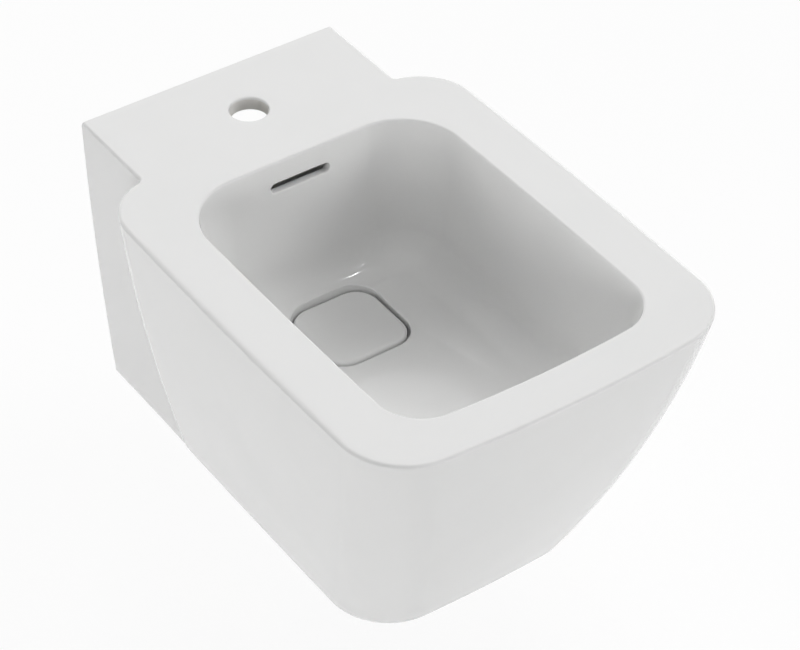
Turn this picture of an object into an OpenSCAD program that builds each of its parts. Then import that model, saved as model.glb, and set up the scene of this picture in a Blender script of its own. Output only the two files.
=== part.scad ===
// Wall-hung bidet with a square waste cover flush in the basin floor.
// Origin: midway between the two fixing holes, on the wall plane. +Z is up and the front faces -Y.

/* [Outer form] */
// Width across the rim
rim_width = 355; // [350:1:365]
// Distance from the wall to the front of the rim
projection = 533.5; // [528:0.5:545]
// Height from the base to the rim
body_height = 291.5; // [285:0.5:300]
// Height of the rim above the fixing holes
rim_above_fixings = 85; // [80:1:95]
// Width of the tap deck at the wall
deck_width = 260; // [254:1:262]
// Width of the body at its base, in front of the rear part
base_width = 237.6; // [236:0.2:242]
// Width of the rear part at its base
rear_base_width = 233.6; // [228:0.2:234]
// Distance from the wall to the front of the base
base_projection = 423.5; // [418:0.5:430]
// How much the flanks and the front swell between base and rim, as a share of their lean
flank_swell = 0.39; // [0.25:0.01:0.45]
// How much the rear part swells between base and rim, as a share of its lean
rear_swell = 0.75; // [0.5:0.05:0.8]
// Distance from the wall to the shoulders at the rim
shoulder_y = 99; // [92:1:104]
// Distance from the wall to the shoulders at the base
shoulder_base_y = 82; // [80:1:92]
// Radius of the shoulders, seen from above
shoulder_r = 52; // [48:1:56]
// Radius of the front corners at the rim, seen from above
front_r = 53; // [50:1:62]
// Radius of the front corners at the base, seen from above
base_front_r = 54; // [46:1:58]
// Radius of the valley where a shoulder meets the rear part
valley_r = 5; // [4:1:8]
// How far the front edge bows forwards at the rim
front_bow = 10; // [6:1:16]
// How far the front edge bows forwards at the base
base_front_bow = 4.5; // [1:0.5:6]
// How far each side bows outwards at the rim
side_bow = 3.2; // [1:0.1:4]
// How far each side bows outwards at the base
base_side_bow = 1; // [0.5:0.1:1.5]
// Radius of the outer edge along the bowl
rim_edge_r = 7; // [5:0.5:8]
// Radius of the outer edge along the tap deck
deck_edge_r = 2.5; // [2:0.5:4]

/* [Casting] */
// Thickness of the outer shell
shell_wall = 9; // [8:0.5:10]
// Thickness of the tap deck and the rim
deck_wall = 13; // [12:0.5:15]
// Thickness of the basin wall
basin_wall = 9; // [8:0.5:10]
// Diameter of the tap hole
tap_hole_d = 35; // [33:0.5:36]
// Distance from the wall to the tap hole
tap_hole_y = 65.5; // [60:0.5:72]
// Spacing of the fixing holes
fixing_spacing = 180; // [180:1:180]
// Diameter of the fixing holes in the lugs
lug_hole_d = 22; // [20:1:24]
// Depth of the lugs behind the wall plane
lug_depth = 28; // [24:1:34]
// Height of the lugs
lug_height = 54; // [44:1:60]

/* [Basin] */
// Half the width of the basin at the rim
basin_half = 124.5; // [120:0.5:128]
// Distance from the wall to the back edge of the basin
basin_back = 144; // [142:0.5:148]
// Distance from the wall to the front edge of the basin
basin_front = 489; // [485:1:491]
// How far each side of the basin bows outwards
basin_side_bow = 1.6; // [0:0.1:2]
// How far the front edge of the basin bows forwards
basin_bow = 7; // [3:1:8]
// Radius of the back corners of the basin at the rim
basin_back_r = 57; // [54:1:62]
// Radius of the front corners of the basin at the rim
basin_front_r = 36.5; // [36:0.5:42]
// Depth of the basin at the waste cover
basin_depth = 140.5; // [137:0.5:142]
// Lean of the side and back walls of the basin, in degrees
basin_lean = 6; // [4:0.5:7]
// Lean of the front wall of the basin, in degrees
basin_front_lean = 12; // [10:0.5:13]
// Radius where the walls run into the floor
floor_r = 33; // [30:1:33]
// Fall of the floor towards the waste cover
floor_fall = 3; // [2:0.5:5]
// Length of the overflow slot
slot_length = 60; // [50:1:64]
// Height of the overflow slot
slot_height = 9; // [7:0.5:10]
// Depth of the middle of the overflow slot below the rim
slot_drop = 25; // [23:0.5:28]

/* [Waste cover] */
// Side of the square waste cover
cover_side = 84.2; // [82:0.2:86]
// Radius of the corners of the cover
cover_corner_r = 22.5; // [20:0.5:25]
// Thickness of the cover
cover_thickness = 7.5; // [7:0.5:8]
// Gap round the cover
cover_gap = 2.4; // [1.5:0.1:2.5]
// Distance from the wall to the middle of the cover
waste_y = 219.5; // [217.5:0.5:221]
// Travel of the plug from closed to open
plug_lift = 8; // [7:0.5:9]
// Travel of the plug from closed to fully pressed
plug_press = 1.5; // [1:0.5:1.5]

/* [Waste] */
// Outside diameter of the threaded waste tube
tube_d = 41.9; // [41.9:0.1:41.9]
// Inside diameter of the waste tube
tube_bore_d = 37; // [36:0.5:37.5]
// Diameter of the waste flange
flange_d = 64; // [62:1:66]
// Length of the waste tube below its flange
tube_length = 92; // [88:1:100]
// Diameter of the waste hole in the casting
waste_hole_d = 46; // [45:0.5:47]
// Diameter of the stem of the plug
stem_d = 6; // [5:0.5:6]
// Radial play of parts that slide or turn in each other
running_play = 0.05; // [0.03:0.01:0.08]
// Turns of the cartridge spring
spring_turns = 6; // [5:1:7]
// Thickness of the spring wire
spring_wire_d = 0.9; // [0.8:0.1:1]

/* [Fixings] */
// Diameter of the hole through a fixing bush
bush_hole_d = 13; // [12.5:0.5:13.5]
// Diameter of the collar of a fixing bush
bush_collar_d = 32; // [30:1:34]

/* [Hidden] */

$fn = 64;
eps = 0.01;
past = 5;
weld = 1;
least_step = 0.995;
edge_growth = 130;

// Heights, all measured from the fixing holes
rim_z = rim_above_fixings;
base_z = rim_z - body_height;
floor_z = rim_z - basin_depth;
wall_drop = basin_depth - floor_fall - floor_r;
corner_tightening = 14;
basin_edge_r = 2.5;
tap_hole_bevel = 1.5;

// Recess of the cover and the thick boss under it
recess_depth = 17;
recess_z = floor_z - recess_depth;
recess_side = cover_side + 2 * cover_gap;
recess_corner_r = cover_corner_r + cover_gap;
recess_tuck = 1;
recess_rise = 12;
pad_margin = 9;
boss_d = 78;
boss_height = 36;
boss_bottom = recess_z - boss_height;

// Flange of the waste on its gasket, and the plug above it
gasket_thickness = 2;
gasket_inset = 1;
flange_thickness = 2.5;
flange_bottom = recess_z + gasket_thickness;
cover_bottom = floor_z - cover_thickness;
cover_edge_r = 1;
carrier_d = 54;
carrier_plate = 2.5;
carrier_plug_d = 31;
carrier_height = 12;
carrier_bottom = cover_bottom - carrier_height;
socket_roof = 3;
carrier_socket = carrier_height - socket_roof;
seal_play = 0.3;
seal_d = tube_bore_d - 2 * seal_play;
seal_seat_d = 27;
seal_height = 3;
seal_rise = 1.5;
seal_bottom = carrier_bottom + seal_rise;

// Cartridge, from the guide cap down to the foot of the spring
height_nut_height = 4;
height_nut_flats = 10;
end_clearance = 1;
cap_top = carrier_bottom - height_nut_height - plug_press - end_clearance;
cap_thickness = 3;
cap_spigot = 3;
sleeve_top = cap_top - cap_thickness;
sleeve_d = 16;
sleeve_bore_d = 11;
sleeve_length = 42;
sleeve_collar_d = 20;
sleeve_collar = 3;
sleeve_foot = 3;
drain_d = 5;
cam_top = sleeve_top - cap_spigot - plug_lift - end_clearance;
cam_height = 8;
cam_d = 8;
cam_rib_height = 5;
cam_rib_width = 1.5;
cam_rib_rise = 1;
cam_ribs = 4;
cam_play = 0.1;
cam_rib_play = 0.3;
spindle_d = 4;
spindle_tail = 3;
spring_foot = sleeve_top - sleeve_length + sleeve_foot;
spring_head = cam_top - cam_height;
spring_d = 7.2;
spring_rings = 8;
spring_sides = 6;

// Tube of the waste, with its spider and windows
collar_drop = 6;
spider_top = sleeve_top - collar_drop;
spider_height = 10;
spider_web = 2.5;
spider_hub_d = 22;
window_width = 13;
window_height = 12;
window_drop = 14;
window_z = recess_z - window_drop;
tube_bottom = flange_bottom - tube_length;
tail_length = 32;
relief_d = 40;
relief_length = 2;
relief_top = tube_bottom + tail_length + relief_length;

// Clamping parts under the casting
lower_gasket_height = 8;
lower_gasket_d = 62;
lower_gasket_foot_d = 68;
washer_thickness = 2;
nut_height = 9;
nut_flats = 55;
thread_play = 0.05;

// Overflow duct cast behind and under the basin
duct_wall = 8;
duct_depth = 15;
duct_margin = 1;
duct_width = slot_length + 2 * duct_margin;
duct_mouth = 12;
duct_bevel = 14;
duct_back_y = duct_depth + basin_wall - basin_back;
duct_end_y = waste_hole_d / 4 - waste_y;
duct_roof = 2;
duct_top = rim_z - deck_wall - duct_roof;

// Lugs that carry the casting
lug_inner = 62;
lug_rib = 10;
bush_collar = 3;
bush_play = 0.1;

glaze = "white";
chrome = "lightgray";
brass = "goldenrod";
rubber = "dimgray";
plastic = "gainsboro";

// Points of an arc about (cx, cy) from angle a0 to a1
function arc(cx, cy, r, a0, a1, steps) = [
    for (i = [0:steps])
        let (a = a0 + (a1 - a0) * i / steps)
        [cx + r * cos(a), cy + r * sin(a)]
];

// The same arc without its first point
function arc_after(cx, cy, r, a0, a1, steps) = [
    for (i = [1:steps])
        let (a = a0 + (a1 - a0) * i / steps)
        [cx + r * cos(a), cy + r * sin(a)]
];

// Points between p and q, without its ends
function between(p, q, steps) = [for (i = [1:steps - 1]) p + (q - p) * i / steps];

// A half outline, joined to its mirror image
function both_sides(half) = concat(half, [
    for (i = [len(half) - 1:-1:0])
        if (half[i][0] > eps)
            [-half[i][0], half[i][1]]
]);

// Bows the sides and the front of an outline outwards, none of it behind the line back
function bowed(points, half, back, front, side, fore) =
    let (middle = (back + front) / 2, reach = (back - front) / 2)
    [
        for (p = points)
            let (u = p[0] / half, v = (p[1] - middle) / reach)
            [
                p[0] + side * u * max(0, 1 - v * v),
                p[1] + (v < 0 ? fore * v * max(0, 1 - u * u) : 0)
            ]
    ];

// Places an outline at a height
function at_height(points, z) = [for (p = points) [p[0], p[1], z]];

// Share of the lean reached at the fraction t of the height, with a swell between the ends
function lean(t, swell) = t + swell * t * (1 - t);
function blend(from, to, share) = from + (to - from) * share;

// Outline of the body at the height h above its base, drawn in by inset.
// It runs from the wall along the rear part, through the valley, round the shoulder and the front corner.
function body_outline(h, inset, back) =
    let (
        t = h / body_height,
        leaned = lean(t, flank_swell),
        rear_leaned = lean(t, rear_swell),
        fore_bow = blend(base_front_bow, front_bow, t),
        flank_bow = blend(base_side_bow, side_bow, t),
        half = blend(base_width / 2, rim_width / 2, leaned) - flank_bow - inset,
        rear = blend(rear_base_width / 2, deck_width / 2, rear_leaned) - inset,
        front = fore_bow - blend(base_projection, projection, leaned) + inset,
        back_line = -blend(shoulder_base_y, shoulder_y, t) - inset,
        r_shoulder = shoulder_r - inset,
        r_front = blend(base_front_r, front_r, t) - inset,
        r_valley = valley_r + inset,
        reach = r_shoulder + r_valley,
        turn = acos(min(least_step, (reach - half + rear) / reach)),
        shoulder_cy = back_line - r_shoulder,
        valley_cy = shoulder_cy + reach * sin(turn)
    )
    both_sides(bowed(
        concat(
            [[rear, back]],
            between([rear, back], [rear, valley_cy], 3),
            arc(rear + r_valley, valley_cy, r_valley, 180, 180 + turn, 4),
            arc_after(half - r_shoulder, shoulder_cy, r_shoulder, turn, 0, 6),
            between([half, shoulder_cy], [half, front + r_front], 7),
            arc(half - r_front, front + r_front, r_front, 0, -90, 7),
            between([half - r_front, front], [0, front], 4),
            [[0, front]]
        ),
        half, back_line, front, flank_bow, fore_bow
    ));

// Outline with round corners that share a radius at each end, and a front that bows forwards
function basin_outline(half, back, front, r_back, r_front, side, fore) =
    both_sides(bowed(
        concat(
            [[0, -back]],
            between([0, -back], [half - r_back, -back], 3),
            arc(half - r_back, -back - r_back, r_back, 90, 0, 7),
            between([half, -back - r_back], [half, -front + r_front], 6),
            arc(half - r_front, -front + r_front, r_front, 0, -90, 7),
            between([half - r_front, -front], [0, -front], 4),
            [[0, -front]]
        ),
        half, -back, -front, side, fore
    ));

// Outline of the basin where its walls have come down by drop and turned by angle towards the floor,
// moved outwards by grow
function basin_at(drop, angle, grow) =
    let (
        tuck = (floor_r + grow) * (1 - cos(angle)) - grow,
        side = drop * tan(basin_lean) + tuck,
        fore = drop * tan(basin_front_lean) + tuck,
        tighter = corner_tightening * drop / wall_drop
    )
    basin_outline(
        basin_half - side,
        basin_back + side,
        basin_front - basin_bow - fore,
        basin_back_r - tighter - tuck,
        basin_front_r - tuck,
        basin_side_bow,
        basin_bow
    );

// Closed solid through a stack of outlines, each with the same number of points
module loft(rings, hub) {
    n = len(rings[0]);
    levels = len(rings);
    low_hub = n * levels;
    high_hub = low_hub + 1;
    points = concat(
        [for (ring = rings) each ring],
        [[hub[0], hub[1], rings[0][0][2]], [hub[0], hub[1], rings[levels - 1][0][2]]]
    );
    low_cap = [for (i = [0:n - 1]) [low_hub, (i + 1) % n, i]];
    high_cap = [for (i = [0:n - 1]) [high_hub, n * (levels - 1) + i, n * (levels - 1) + (i + 1) % n]];
    walls = [
        for (k = [0:levels - 2])
            for (i = [0:n - 1])
                let (a = n * k + i, b = n * k + (i + 1) % n)
                each [[a, b, b + n], [a, b + n, a + n]]
    ];
    polyhedron(points = points, faces = concat(low_cap, high_cap, walls), convexity = 8);
}

// Square plate with round corners, standing on z = 0
module rounded_plate(side, corner_r, height) {
    straight = side - 2 * corner_r;
    translate([-side / 2, -straight / 2, 0])
        cube([side, straight, height]);
    translate([-straight / 2, -side / 2, 0])
        cube([straight, side, height]);
    for (x = [-1, 1])
        for (y = [-1, 1])
            translate([x * straight / 2, y * straight / 2, 0])
                cylinder(r = corner_r, h = height);
}

// Ring with a straight bore
module ring(outer_d, inner_d, height) {
    difference() {
        cylinder(d = outer_d, h = height);
        translate([0, 0, -past])
            cylinder(d = inner_d, h = height + 2 * past);
    }
}

module at_waste() {
    translate([0, -waste_y, 0])
        children();
}

// Radius of the outer edge where a point of the outline lies: small along the deck, larger along the bowl
function edge_radius(y) =
    let (share = min(1, max(0, (-y - shoulder_y) / edge_growth)))
    blend(deck_edge_r, rim_edge_r, share * share * (3 - 2 * share));

// Ring of the rounded outer edge, turned by angle from upright to flat
function edge_ring(angle) =
    let (
        start = body_height - rim_edge_r,
        low = body_outline(start, 0, 0),
        high = body_outline(body_height, 0, 0),
        high_inset = body_outline(body_height, 1, 0)
    )
    [
        for (i = [0:len(low) - 1])
            let (
                r = edge_radius(high[i][1]),
                h = body_height - r * (1 - sin(angle)),
                p = blend(low[i], high[i], (h - start) / rim_edge_r)
                    + (high_inset[i] - high[i]) * r * (1 - cos(angle))
            )
            [p[0], p[1], base_z + h]
    ];

// Outer form of the casting, solid
module body_form() {
    levels = 8;
    top = body_height - rim_edge_r - weld;
    loft(
        concat(
            [
                for (i = [0:levels])
                    at_height(body_outline(top * i / levels, 0, 0), base_z + top * i / levels)
            ],
            [for (a = [0:30:90]) edge_ring(a)]
        ),
        [0, -waste_y]
    );
}

// Space inside the shell, open at the base and towards the wall
module body_hollow() {
    levels = 5;
    top = body_height - deck_wall;
    loft(
        [
            for (i = [0:levels])
                let (h = blend(-past, top, i / levels))
                at_height(body_outline(max(0, h), shell_wall, 2 * past), base_z + h)
        ],
        [0, -waste_y]
    );
}

// Inside of the basin, down to the recess of the cover
module basin_space() {
    half = recess_side / 2 - recess_tuck;
    corner_r = recess_corner_r - recess_tuck;
    foot_y = basin_back + wall_drop * tan(basin_lean) + floor_r;
    back = max(waste_y - half, foot_y + recess_tuck);
    loft(
        concat(
            [at_height(basin_outline(half, back, waste_y + half, corner_r, corner_r, 0, 0), floor_z)],
            [
                for (a = [90, 68, 45, 22])
                    at_height(basin_at(wall_drop, a, 0), rim_z - wall_drop - floor_r * sin(a))
            ],
            [
                for (i = [3:-1:1])
                    at_height(basin_at(wall_drop * i / 3, 0, 0), rim_z - wall_drop * i / 3)
            ],
            [
                for (a = [0:30:90])
                    at_height(basin_at(0, 0, basin_edge_r * (1 - cos(a))), rim_z - basin_edge_r * (1 - sin(a)))
            ],
            [at_height(basin_at(0, 0, basin_edge_r), rim_z + past)]
        ),
        [0, -waste_y]
    );
}

// Outside of the basin cup, up into the rim
module basin_cup() {
    loft(
        concat(
            [
                for (a = [90, 60, 30])
                    at_height(basin_at(wall_drop, a, basin_wall), rim_z - wall_drop - (floor_r + basin_wall) * sin(a))
            ],
            [
                for (z = [wall_drop, wall_drop / 2, deck_wall / 2])
                    at_height(basin_at(z, 0, basin_wall), rim_z - z)
            ]
        ),
        [0, -waste_y]
    );
}

// Side profile of the solid that carries the overflow duct, as points (y, z)
function duct_shell() =
    let (
        lean_y = wall_drop * tan(basin_lean),
        fillet_y = -basin_back - lean_y - floor_r,
        middle_r = floor_r + basin_wall / 2,
        back = duct_back_y + duct_wall,
        low = window_z - duct_mouth / 2 - duct_wall
    )
    concat(
        [
            [basin_wall / 2 - basin_back, rim_z - deck_wall + weld],
            [back, rim_z - deck_wall + weld],
            [back, low + duct_bevel],
            [back - duct_bevel, low],
            [duct_end_y, low],
            [duct_end_y, recess_z + past]
        ],
        arc(fillet_y, rim_z - wall_drop, middle_r, -90, 0, 4)
    );

// Side profile of the duct itself, as points (y, z)
function duct_channel() =
    let (
        front = duct_back_y - duct_depth,
        low = window_z - duct_mouth / 2
    )
    [
        [front, duct_top],
        [duct_back_y, duct_top],
        [duct_back_y, low + duct_bevel],
        [duct_back_y - duct_bevel, low],
        [duct_end_y, low],
        [duct_end_y, low + duct_mouth],
        [front, low + duct_mouth]
    ];

// Bar across X with a side profile given as points (y, z)
module side_bar(profile, width) {
    translate([-width / 2, 0, 0])
        rotate([90, 0, 90])
            linear_extrude(height = width)
                polygon(profile);
}

// Overflow slot through the back wall of the basin
module overflow_slot() {
    straight = slot_length - slot_height;
    reach = basin_wall + duct_depth;
    translate([0, duct_back_y - duct_depth / 2, rim_z - slot_drop])
        rotate([90, 0, 0]) {
            translate([-straight / 2, -slot_height / 2, 0])
                cube([straight, slot_height, reach]);
            for (x = [-1, 1])
                translate([x * straight / 2, 0, 0])
                    cylinder(d = slot_height, h = reach);
        }
}

// Lug at one side, with a rib up to the deck
module lug(side) {
    outer = (deck_width - shell_wall) / 2;
    mirror([side < 0 ? 1 : 0, 0, 0]) {
        translate([lug_inner, -lug_depth, -lug_height / 2])
            cube([outer - lug_inner, lug_depth, lug_height]);
        translate([(fixing_spacing - lug_rib) / 2, -lug_depth, 0])
            cube([lug_rib, lug_depth, rim_z - deck_wall + weld]);
    }
}

// The vitreous casting
module ceramic_body() {
    color(glaze)
        difference() {
            union() {
                difference() {
                    body_form();
                    body_hollow();
                }
                basin_cup();
                at_waste() {
                    translate([0, 0, recess_z - pad_margin])
                        rounded_plate(recess_side + 2 * pad_margin, recess_corner_r + pad_margin,
                            recess_depth + pad_margin - floor_fall);
                    translate([0, 0, boss_bottom])
                        cylinder(d = boss_d, h = recess_z - boss_bottom);
                }
                side_bar(duct_shell(), duct_width + 2 * duct_wall);
                lug(-1);
                lug(1);
            }
            basin_space();
            at_waste() {
                translate([0, 0, recess_z])
                    rounded_plate(recess_side, recess_corner_r, recess_depth + recess_rise);
                translate([0, 0, boss_bottom - past])
                    cylinder(d = waste_hole_d, h = recess_z - boss_bottom + 2 * past);
            }
            side_bar(duct_channel(), duct_width);
            overflow_slot();
            translate([0, -tap_hole_y, rim_z - deck_wall - past])
                cylinder(d = tap_hole_d, h = deck_wall + 2 * past);
            translate([0, -tap_hole_y, rim_z - tap_hole_bevel])
                cylinder(d1 = tap_hole_d, d2 = tap_hole_d + 2 * (tap_hole_bevel + weld), h = tap_hole_bevel + weld);
            for (x = [-1, 1])
                translate([x * fixing_spacing / 2, past, 0])
                    rotate([90, 0, 0])
                        cylinder(d = lug_hole_d, h = lug_depth + 2 * past);
        }
}

// Square plate that lies flush in the basin floor
module waste_cover() {
    color(glaze)
        at_waste()
            translate([0, 0, cover_bottom])
                hull() {
                    rounded_plate(cover_side, cover_corner_r, cover_thickness - cover_edge_r, $fn = 32);
                    rounded_plate(cover_side - 2 * cover_edge_r, cover_corner_r - cover_edge_r, cover_thickness,
                        $fn = 32);
                }
}

// Moulded disc under the plate, grooved for the seal and bored for the stem
module cover_carrier() {
    color(plastic)
        at_waste()
            difference() {
                union() {
                    translate([0, 0, cover_bottom - carrier_plate])
                        cylinder(d = carrier_d, h = carrier_plate);
                    translate([0, 0, carrier_bottom])
                        cylinder(d = carrier_plug_d, h = carrier_height - carrier_plate);
                }
                translate([0, 0, seal_bottom])
                    ring(carrier_plug_d + past, seal_seat_d, seal_height + thread_play);
                translate([0, 0, carrier_bottom - past])
                    cylinder(d = stem_d + 2 * thread_play, h = carrier_socket + past);
            }
}

// Rubber ring that closes the mouth of the waste
module plug_seal() {
    color(rubber)
        at_waste()
            translate([0, 0, seal_bottom])
                ring(seal_d, seal_seat_d + 2 * thread_play, seal_height);
}

// Turned stem with a thin spindle for the cam
module plug_stem() {
    stem_top = carrier_bottom + carrier_socket - thread_play;
    shoulder = cam_top + cam_play;
    color(chrome)
        at_waste() {
            translate([0, 0, shoulder])
                cylinder(d = stem_d, h = stem_top - shoulder);
            translate([0, 0, spring_head - spindle_tail])
                cylinder(d = spindle_d, h = shoulder - spring_head + spindle_tail);
        }
}

// Hexagonal nut that locks the stem in the carrier
module height_nut() {
    color(chrome)
        at_waste()
            translate([0, 0, carrier_bottom - height_nut_height])
                hex_ring(height_nut_flats, stem_d + 2 * thread_play, height_nut_height);
}

// Ribbed cam that turns on the spindle
module latch_cam() {
    color(plastic)
        at_waste()
            translate([0, 0, cam_top - cam_height])
                difference() {
                    union() {
                        cylinder(d = cam_d, h = cam_height);
                        for (i = [0:cam_ribs / 2 - 1])
                            rotate([0, 0, 45 + 360 / cam_ribs * i])
                                translate([-sleeve_bore_d / 2 + cam_rib_play, -cam_rib_width / 2, cam_rib_rise])
                                    cube([sleeve_bore_d - 2 * cam_rib_play, cam_rib_width, cam_rib_height]);
                    }
                    translate([0, 0, -past])
                        cylinder(d = spindle_d + 2 * running_play, h = cam_height + 2 * past);
                }
}

// Centre line of the spring wire at ring i
function spring_point(i) =
    let (
        turn = 360 * i / spring_rings,
        rise = (spring_head - spring_foot - spring_wire_d - 2 * cam_play) / (spring_turns * spring_rings)
    )
    [spring_d / 2 * cos(turn), spring_d / 2 * sin(turn), spring_foot + spring_wire_d / 2 + cam_play + rise * i];

// Helical spring as one tube, swept along its centre line
module cartridge_spring() {
    rings = spring_turns * spring_rings;
    centres = [for (i = [0:rings]) spring_point(i)];
    points = [
        for (i = [0:rings])
            let (
                turn = 360 * i / spring_rings,
                outward = [cos(turn), sin(turn), 0]
            )
            for (k = [0:spring_sides - 1])
                let (a = 360 * k / spring_sides)
                centres[i] + spring_wire_d / 2 * (cos(a) * outward + [0, 0, sin(a)])
    ];
    last = rings * spring_sides;
    foot = [for (k = [0:spring_sides - 1]) k];
    head = [for (k = [spring_sides - 1:-1:0]) last + k];
    sides = [
        for (i = [0:rings - 1])
            for (k = [0:spring_sides - 1])
                let (a = i * spring_sides + k, b = i * spring_sides + (k + 1) % spring_sides)
                each [[a, a + spring_sides, b + spring_sides], [a, b + spring_sides, b]]
    ];
    gap = min([for (i = [0:rings - spring_rings]) norm(centres[i + spring_rings] - centres[i])]) - spring_wire_d;
    echo("least gap between the turns of the spring", gap);
    color(chrome)
        at_waste()
            polyhedron(points = points, faces = concat([foot], [head], sides), convexity = 10);
}

// Barrel of the cartridge, held in the spider by its collar
module cartridge_sleeve() {
    color(plastic)
        at_waste()
            difference() {
                union() {
                    translate([0, 0, sleeve_top - sleeve_length])
                        cylinder(d = sleeve_d, h = sleeve_length);
                    translate([0, 0, spider_top])
                        cylinder(d = sleeve_collar_d, h = sleeve_collar);
                }
                translate([0, 0, spring_foot])
                    cylinder(d = sleeve_bore_d, h = sleeve_length);
                translate([0, 0, sleeve_top - sleeve_length - past])
                    cylinder(d = drain_d, h = sleeve_length);
            }
}

// Cap that closes the barrel and guides the stem
module cartridge_cap() {
    color(plastic)
        at_waste()
            difference() {
                union() {
                    translate([0, 0, sleeve_top])
                        cylinder(d = sleeve_d, h = cap_thickness);
                    translate([0, 0, sleeve_top - cap_spigot])
                        cylinder(d = sleeve_bore_d - 2 * thread_play, h = cap_spigot + cap_thickness);
                }
                translate([0, 0, sleeve_top - cap_spigot - past])
                    cylinder(d = stem_d + 2 * running_play, h = cap_spigot + cap_thickness + 2 * past);
            }
}

// Flanged waste tube with overflow windows and a spider for the cartridge
module waste_body() {
    color(chrome)
        at_waste() {
            difference() {
                union() {
                    translate([0, 0, flange_bottom])
                        cylinder(d = flange_d, h = flange_thickness);
                    translate([0, 0, relief_top])
                        cylinder(d = tube_d, h = flange_bottom + flange_thickness / 2 - relief_top);
                    translate([0, 0, tube_bottom])
                        cylinder(d = relief_d, h = relief_top - tube_bottom + weld);
                    translate([0, 0, tube_bottom])
                        cylinder(d = tube_d, h = tail_length);
                }
                translate([0, 0, tube_bottom - past])
                    cylinder(d = tube_bore_d, h = tube_length + flange_thickness + 2 * past);
                for (a = [0, 90])
                    rotate([0, 0, a])
                        translate([-tube_d, -window_width / 2, window_z - window_height / 2])
                            cube([2 * tube_d, window_width, window_height]);
            }
            difference() {
                union() {
                    translate([0, 0, spider_top - spider_height])
                        cylinder(d = spider_hub_d, h = spider_height);
                    for (a = [45, 135])
                        rotate([0, 0, a])
                            translate([-(tube_d + tube_bore_d) / 4, -spider_web / 2, spider_top - spider_height])
                                cube([(tube_d + tube_bore_d) / 2, spider_web, spider_height]);
                }
                translate([0, 0, spider_top - spider_height - past])
                    cylinder(d = sleeve_d + 2 * thread_play, h = spider_height + 2 * past);
            }
        }
}

// Rubber ring between the flange and the casting
module flange_gasket() {
    color(rubber)
        at_waste()
            translate([0, 0, recess_z])
                ring(flange_d - 2 * gasket_inset, waste_hole_d, gasket_thickness);
}

// Rubber ring under the casting, wider towards the washer
module lower_gasket() {
    color(rubber)
        at_waste()
            translate([0, 0, boss_bottom - lower_gasket_height])
                difference() {
                    cylinder(d1 = lower_gasket_foot_d, d2 = lower_gasket_d, h = lower_gasket_height);
                    translate([0, 0, -past])
                        cylinder(d = tube_d + 2 * thread_play, h = lower_gasket_height + 2 * past);
                }
}

// Flat washer between the rubber ring and the nut
module slip_washer() {
    color(plastic)
        at_waste()
            translate([0, 0, boss_bottom - lower_gasket_height - washer_thickness])
                ring(lower_gasket_foot_d, tube_d + 4 * thread_play, washer_thickness);
}

// Hexagonal prism with a bore, measured across its flats
module hex_ring(flats, bore_d, height) {
    difference() {
        cylinder(d = flats / cos(30), h = height, $fn = 6);
        translate([0, 0, -past])
            cylinder(d = bore_d, h = height + 2 * past);
    }
}

// Nut that clamps the waste to the casting
module backnut() {
    color(brass)
        at_waste()
            translate([0, 0, boss_bottom - lower_gasket_height - washer_thickness - nut_height])
                hex_ring(nut_flats, tube_d + 2 * thread_play, nut_height);
}

// Collared bushes in the holes of both lugs
module fixing_bushes() {
    color(plastic)
        for (x = [-1, 1])
            translate([x * fixing_spacing / 2, -lug_depth, 0])
                rotate([90, 0, 0]) {
                    ring(bush_collar_d, bush_hole_d, bush_collar);
                    translate([0, 0, -lug_depth])
                        ring(lug_hole_d - 2 * bush_play, bush_hole_d, lug_depth);
                }
}

ceramic_body();
waste_cover();
cover_carrier();
plug_seal();
plug_stem();
height_nut();
latch_cam();
cartridge_spring();
cartridge_sleeve();
cartridge_cap();
waste_body();
flange_gasket();
lower_gasket();
slip_washer();
backnut();
fixing_bushes();
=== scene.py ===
"""Looks of a wall-hung bidet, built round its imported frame.

Lengths are in millimetres and angles in degrees, unless a name or a docstring says otherwise.
"""

import logging
import math
from dataclasses import dataclass, field, replace
from enum import Enum
from typing import Any, Sequence

import bmesh
import bpy
import numpy as np
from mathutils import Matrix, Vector
from mathutils.bvhtree import BVHTree
from mathutils.geometry import delaunay_2d_cdt


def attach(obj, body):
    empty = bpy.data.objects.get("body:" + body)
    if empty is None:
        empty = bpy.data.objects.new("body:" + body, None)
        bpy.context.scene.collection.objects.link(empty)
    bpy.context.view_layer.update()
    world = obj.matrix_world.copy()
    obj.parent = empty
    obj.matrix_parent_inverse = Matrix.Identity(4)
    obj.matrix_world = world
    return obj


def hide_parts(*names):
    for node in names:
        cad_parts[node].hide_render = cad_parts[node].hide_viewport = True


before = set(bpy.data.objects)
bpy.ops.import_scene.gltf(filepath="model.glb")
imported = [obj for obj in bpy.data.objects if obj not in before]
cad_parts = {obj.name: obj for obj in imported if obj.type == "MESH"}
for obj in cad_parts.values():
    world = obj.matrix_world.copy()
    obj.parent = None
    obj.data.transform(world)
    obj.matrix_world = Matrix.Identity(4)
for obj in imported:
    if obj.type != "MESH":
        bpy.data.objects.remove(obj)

MM = 0.001
WHITE = (1.0, 1.0, 1.0, 1.0)
SHARP = 35.0
TURNED_STEPS = 96
LOG = logging.getLogger("bidet")
Object = bpy.types.Object
Points = np.ndarray
Loop = list[int]
Rows = Sequence[Sequence[float]]


class Body(Enum):
    """The moving groups of the frame that new pieces ride on."""

    CASTING = "casting"
    PLUG = "plug"


class Cut(Enum):
    """What a boolean does with its tool."""

    REMOVE = "DIFFERENCE"
    JOIN = "UNION"


# ---- shader maths


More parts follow.
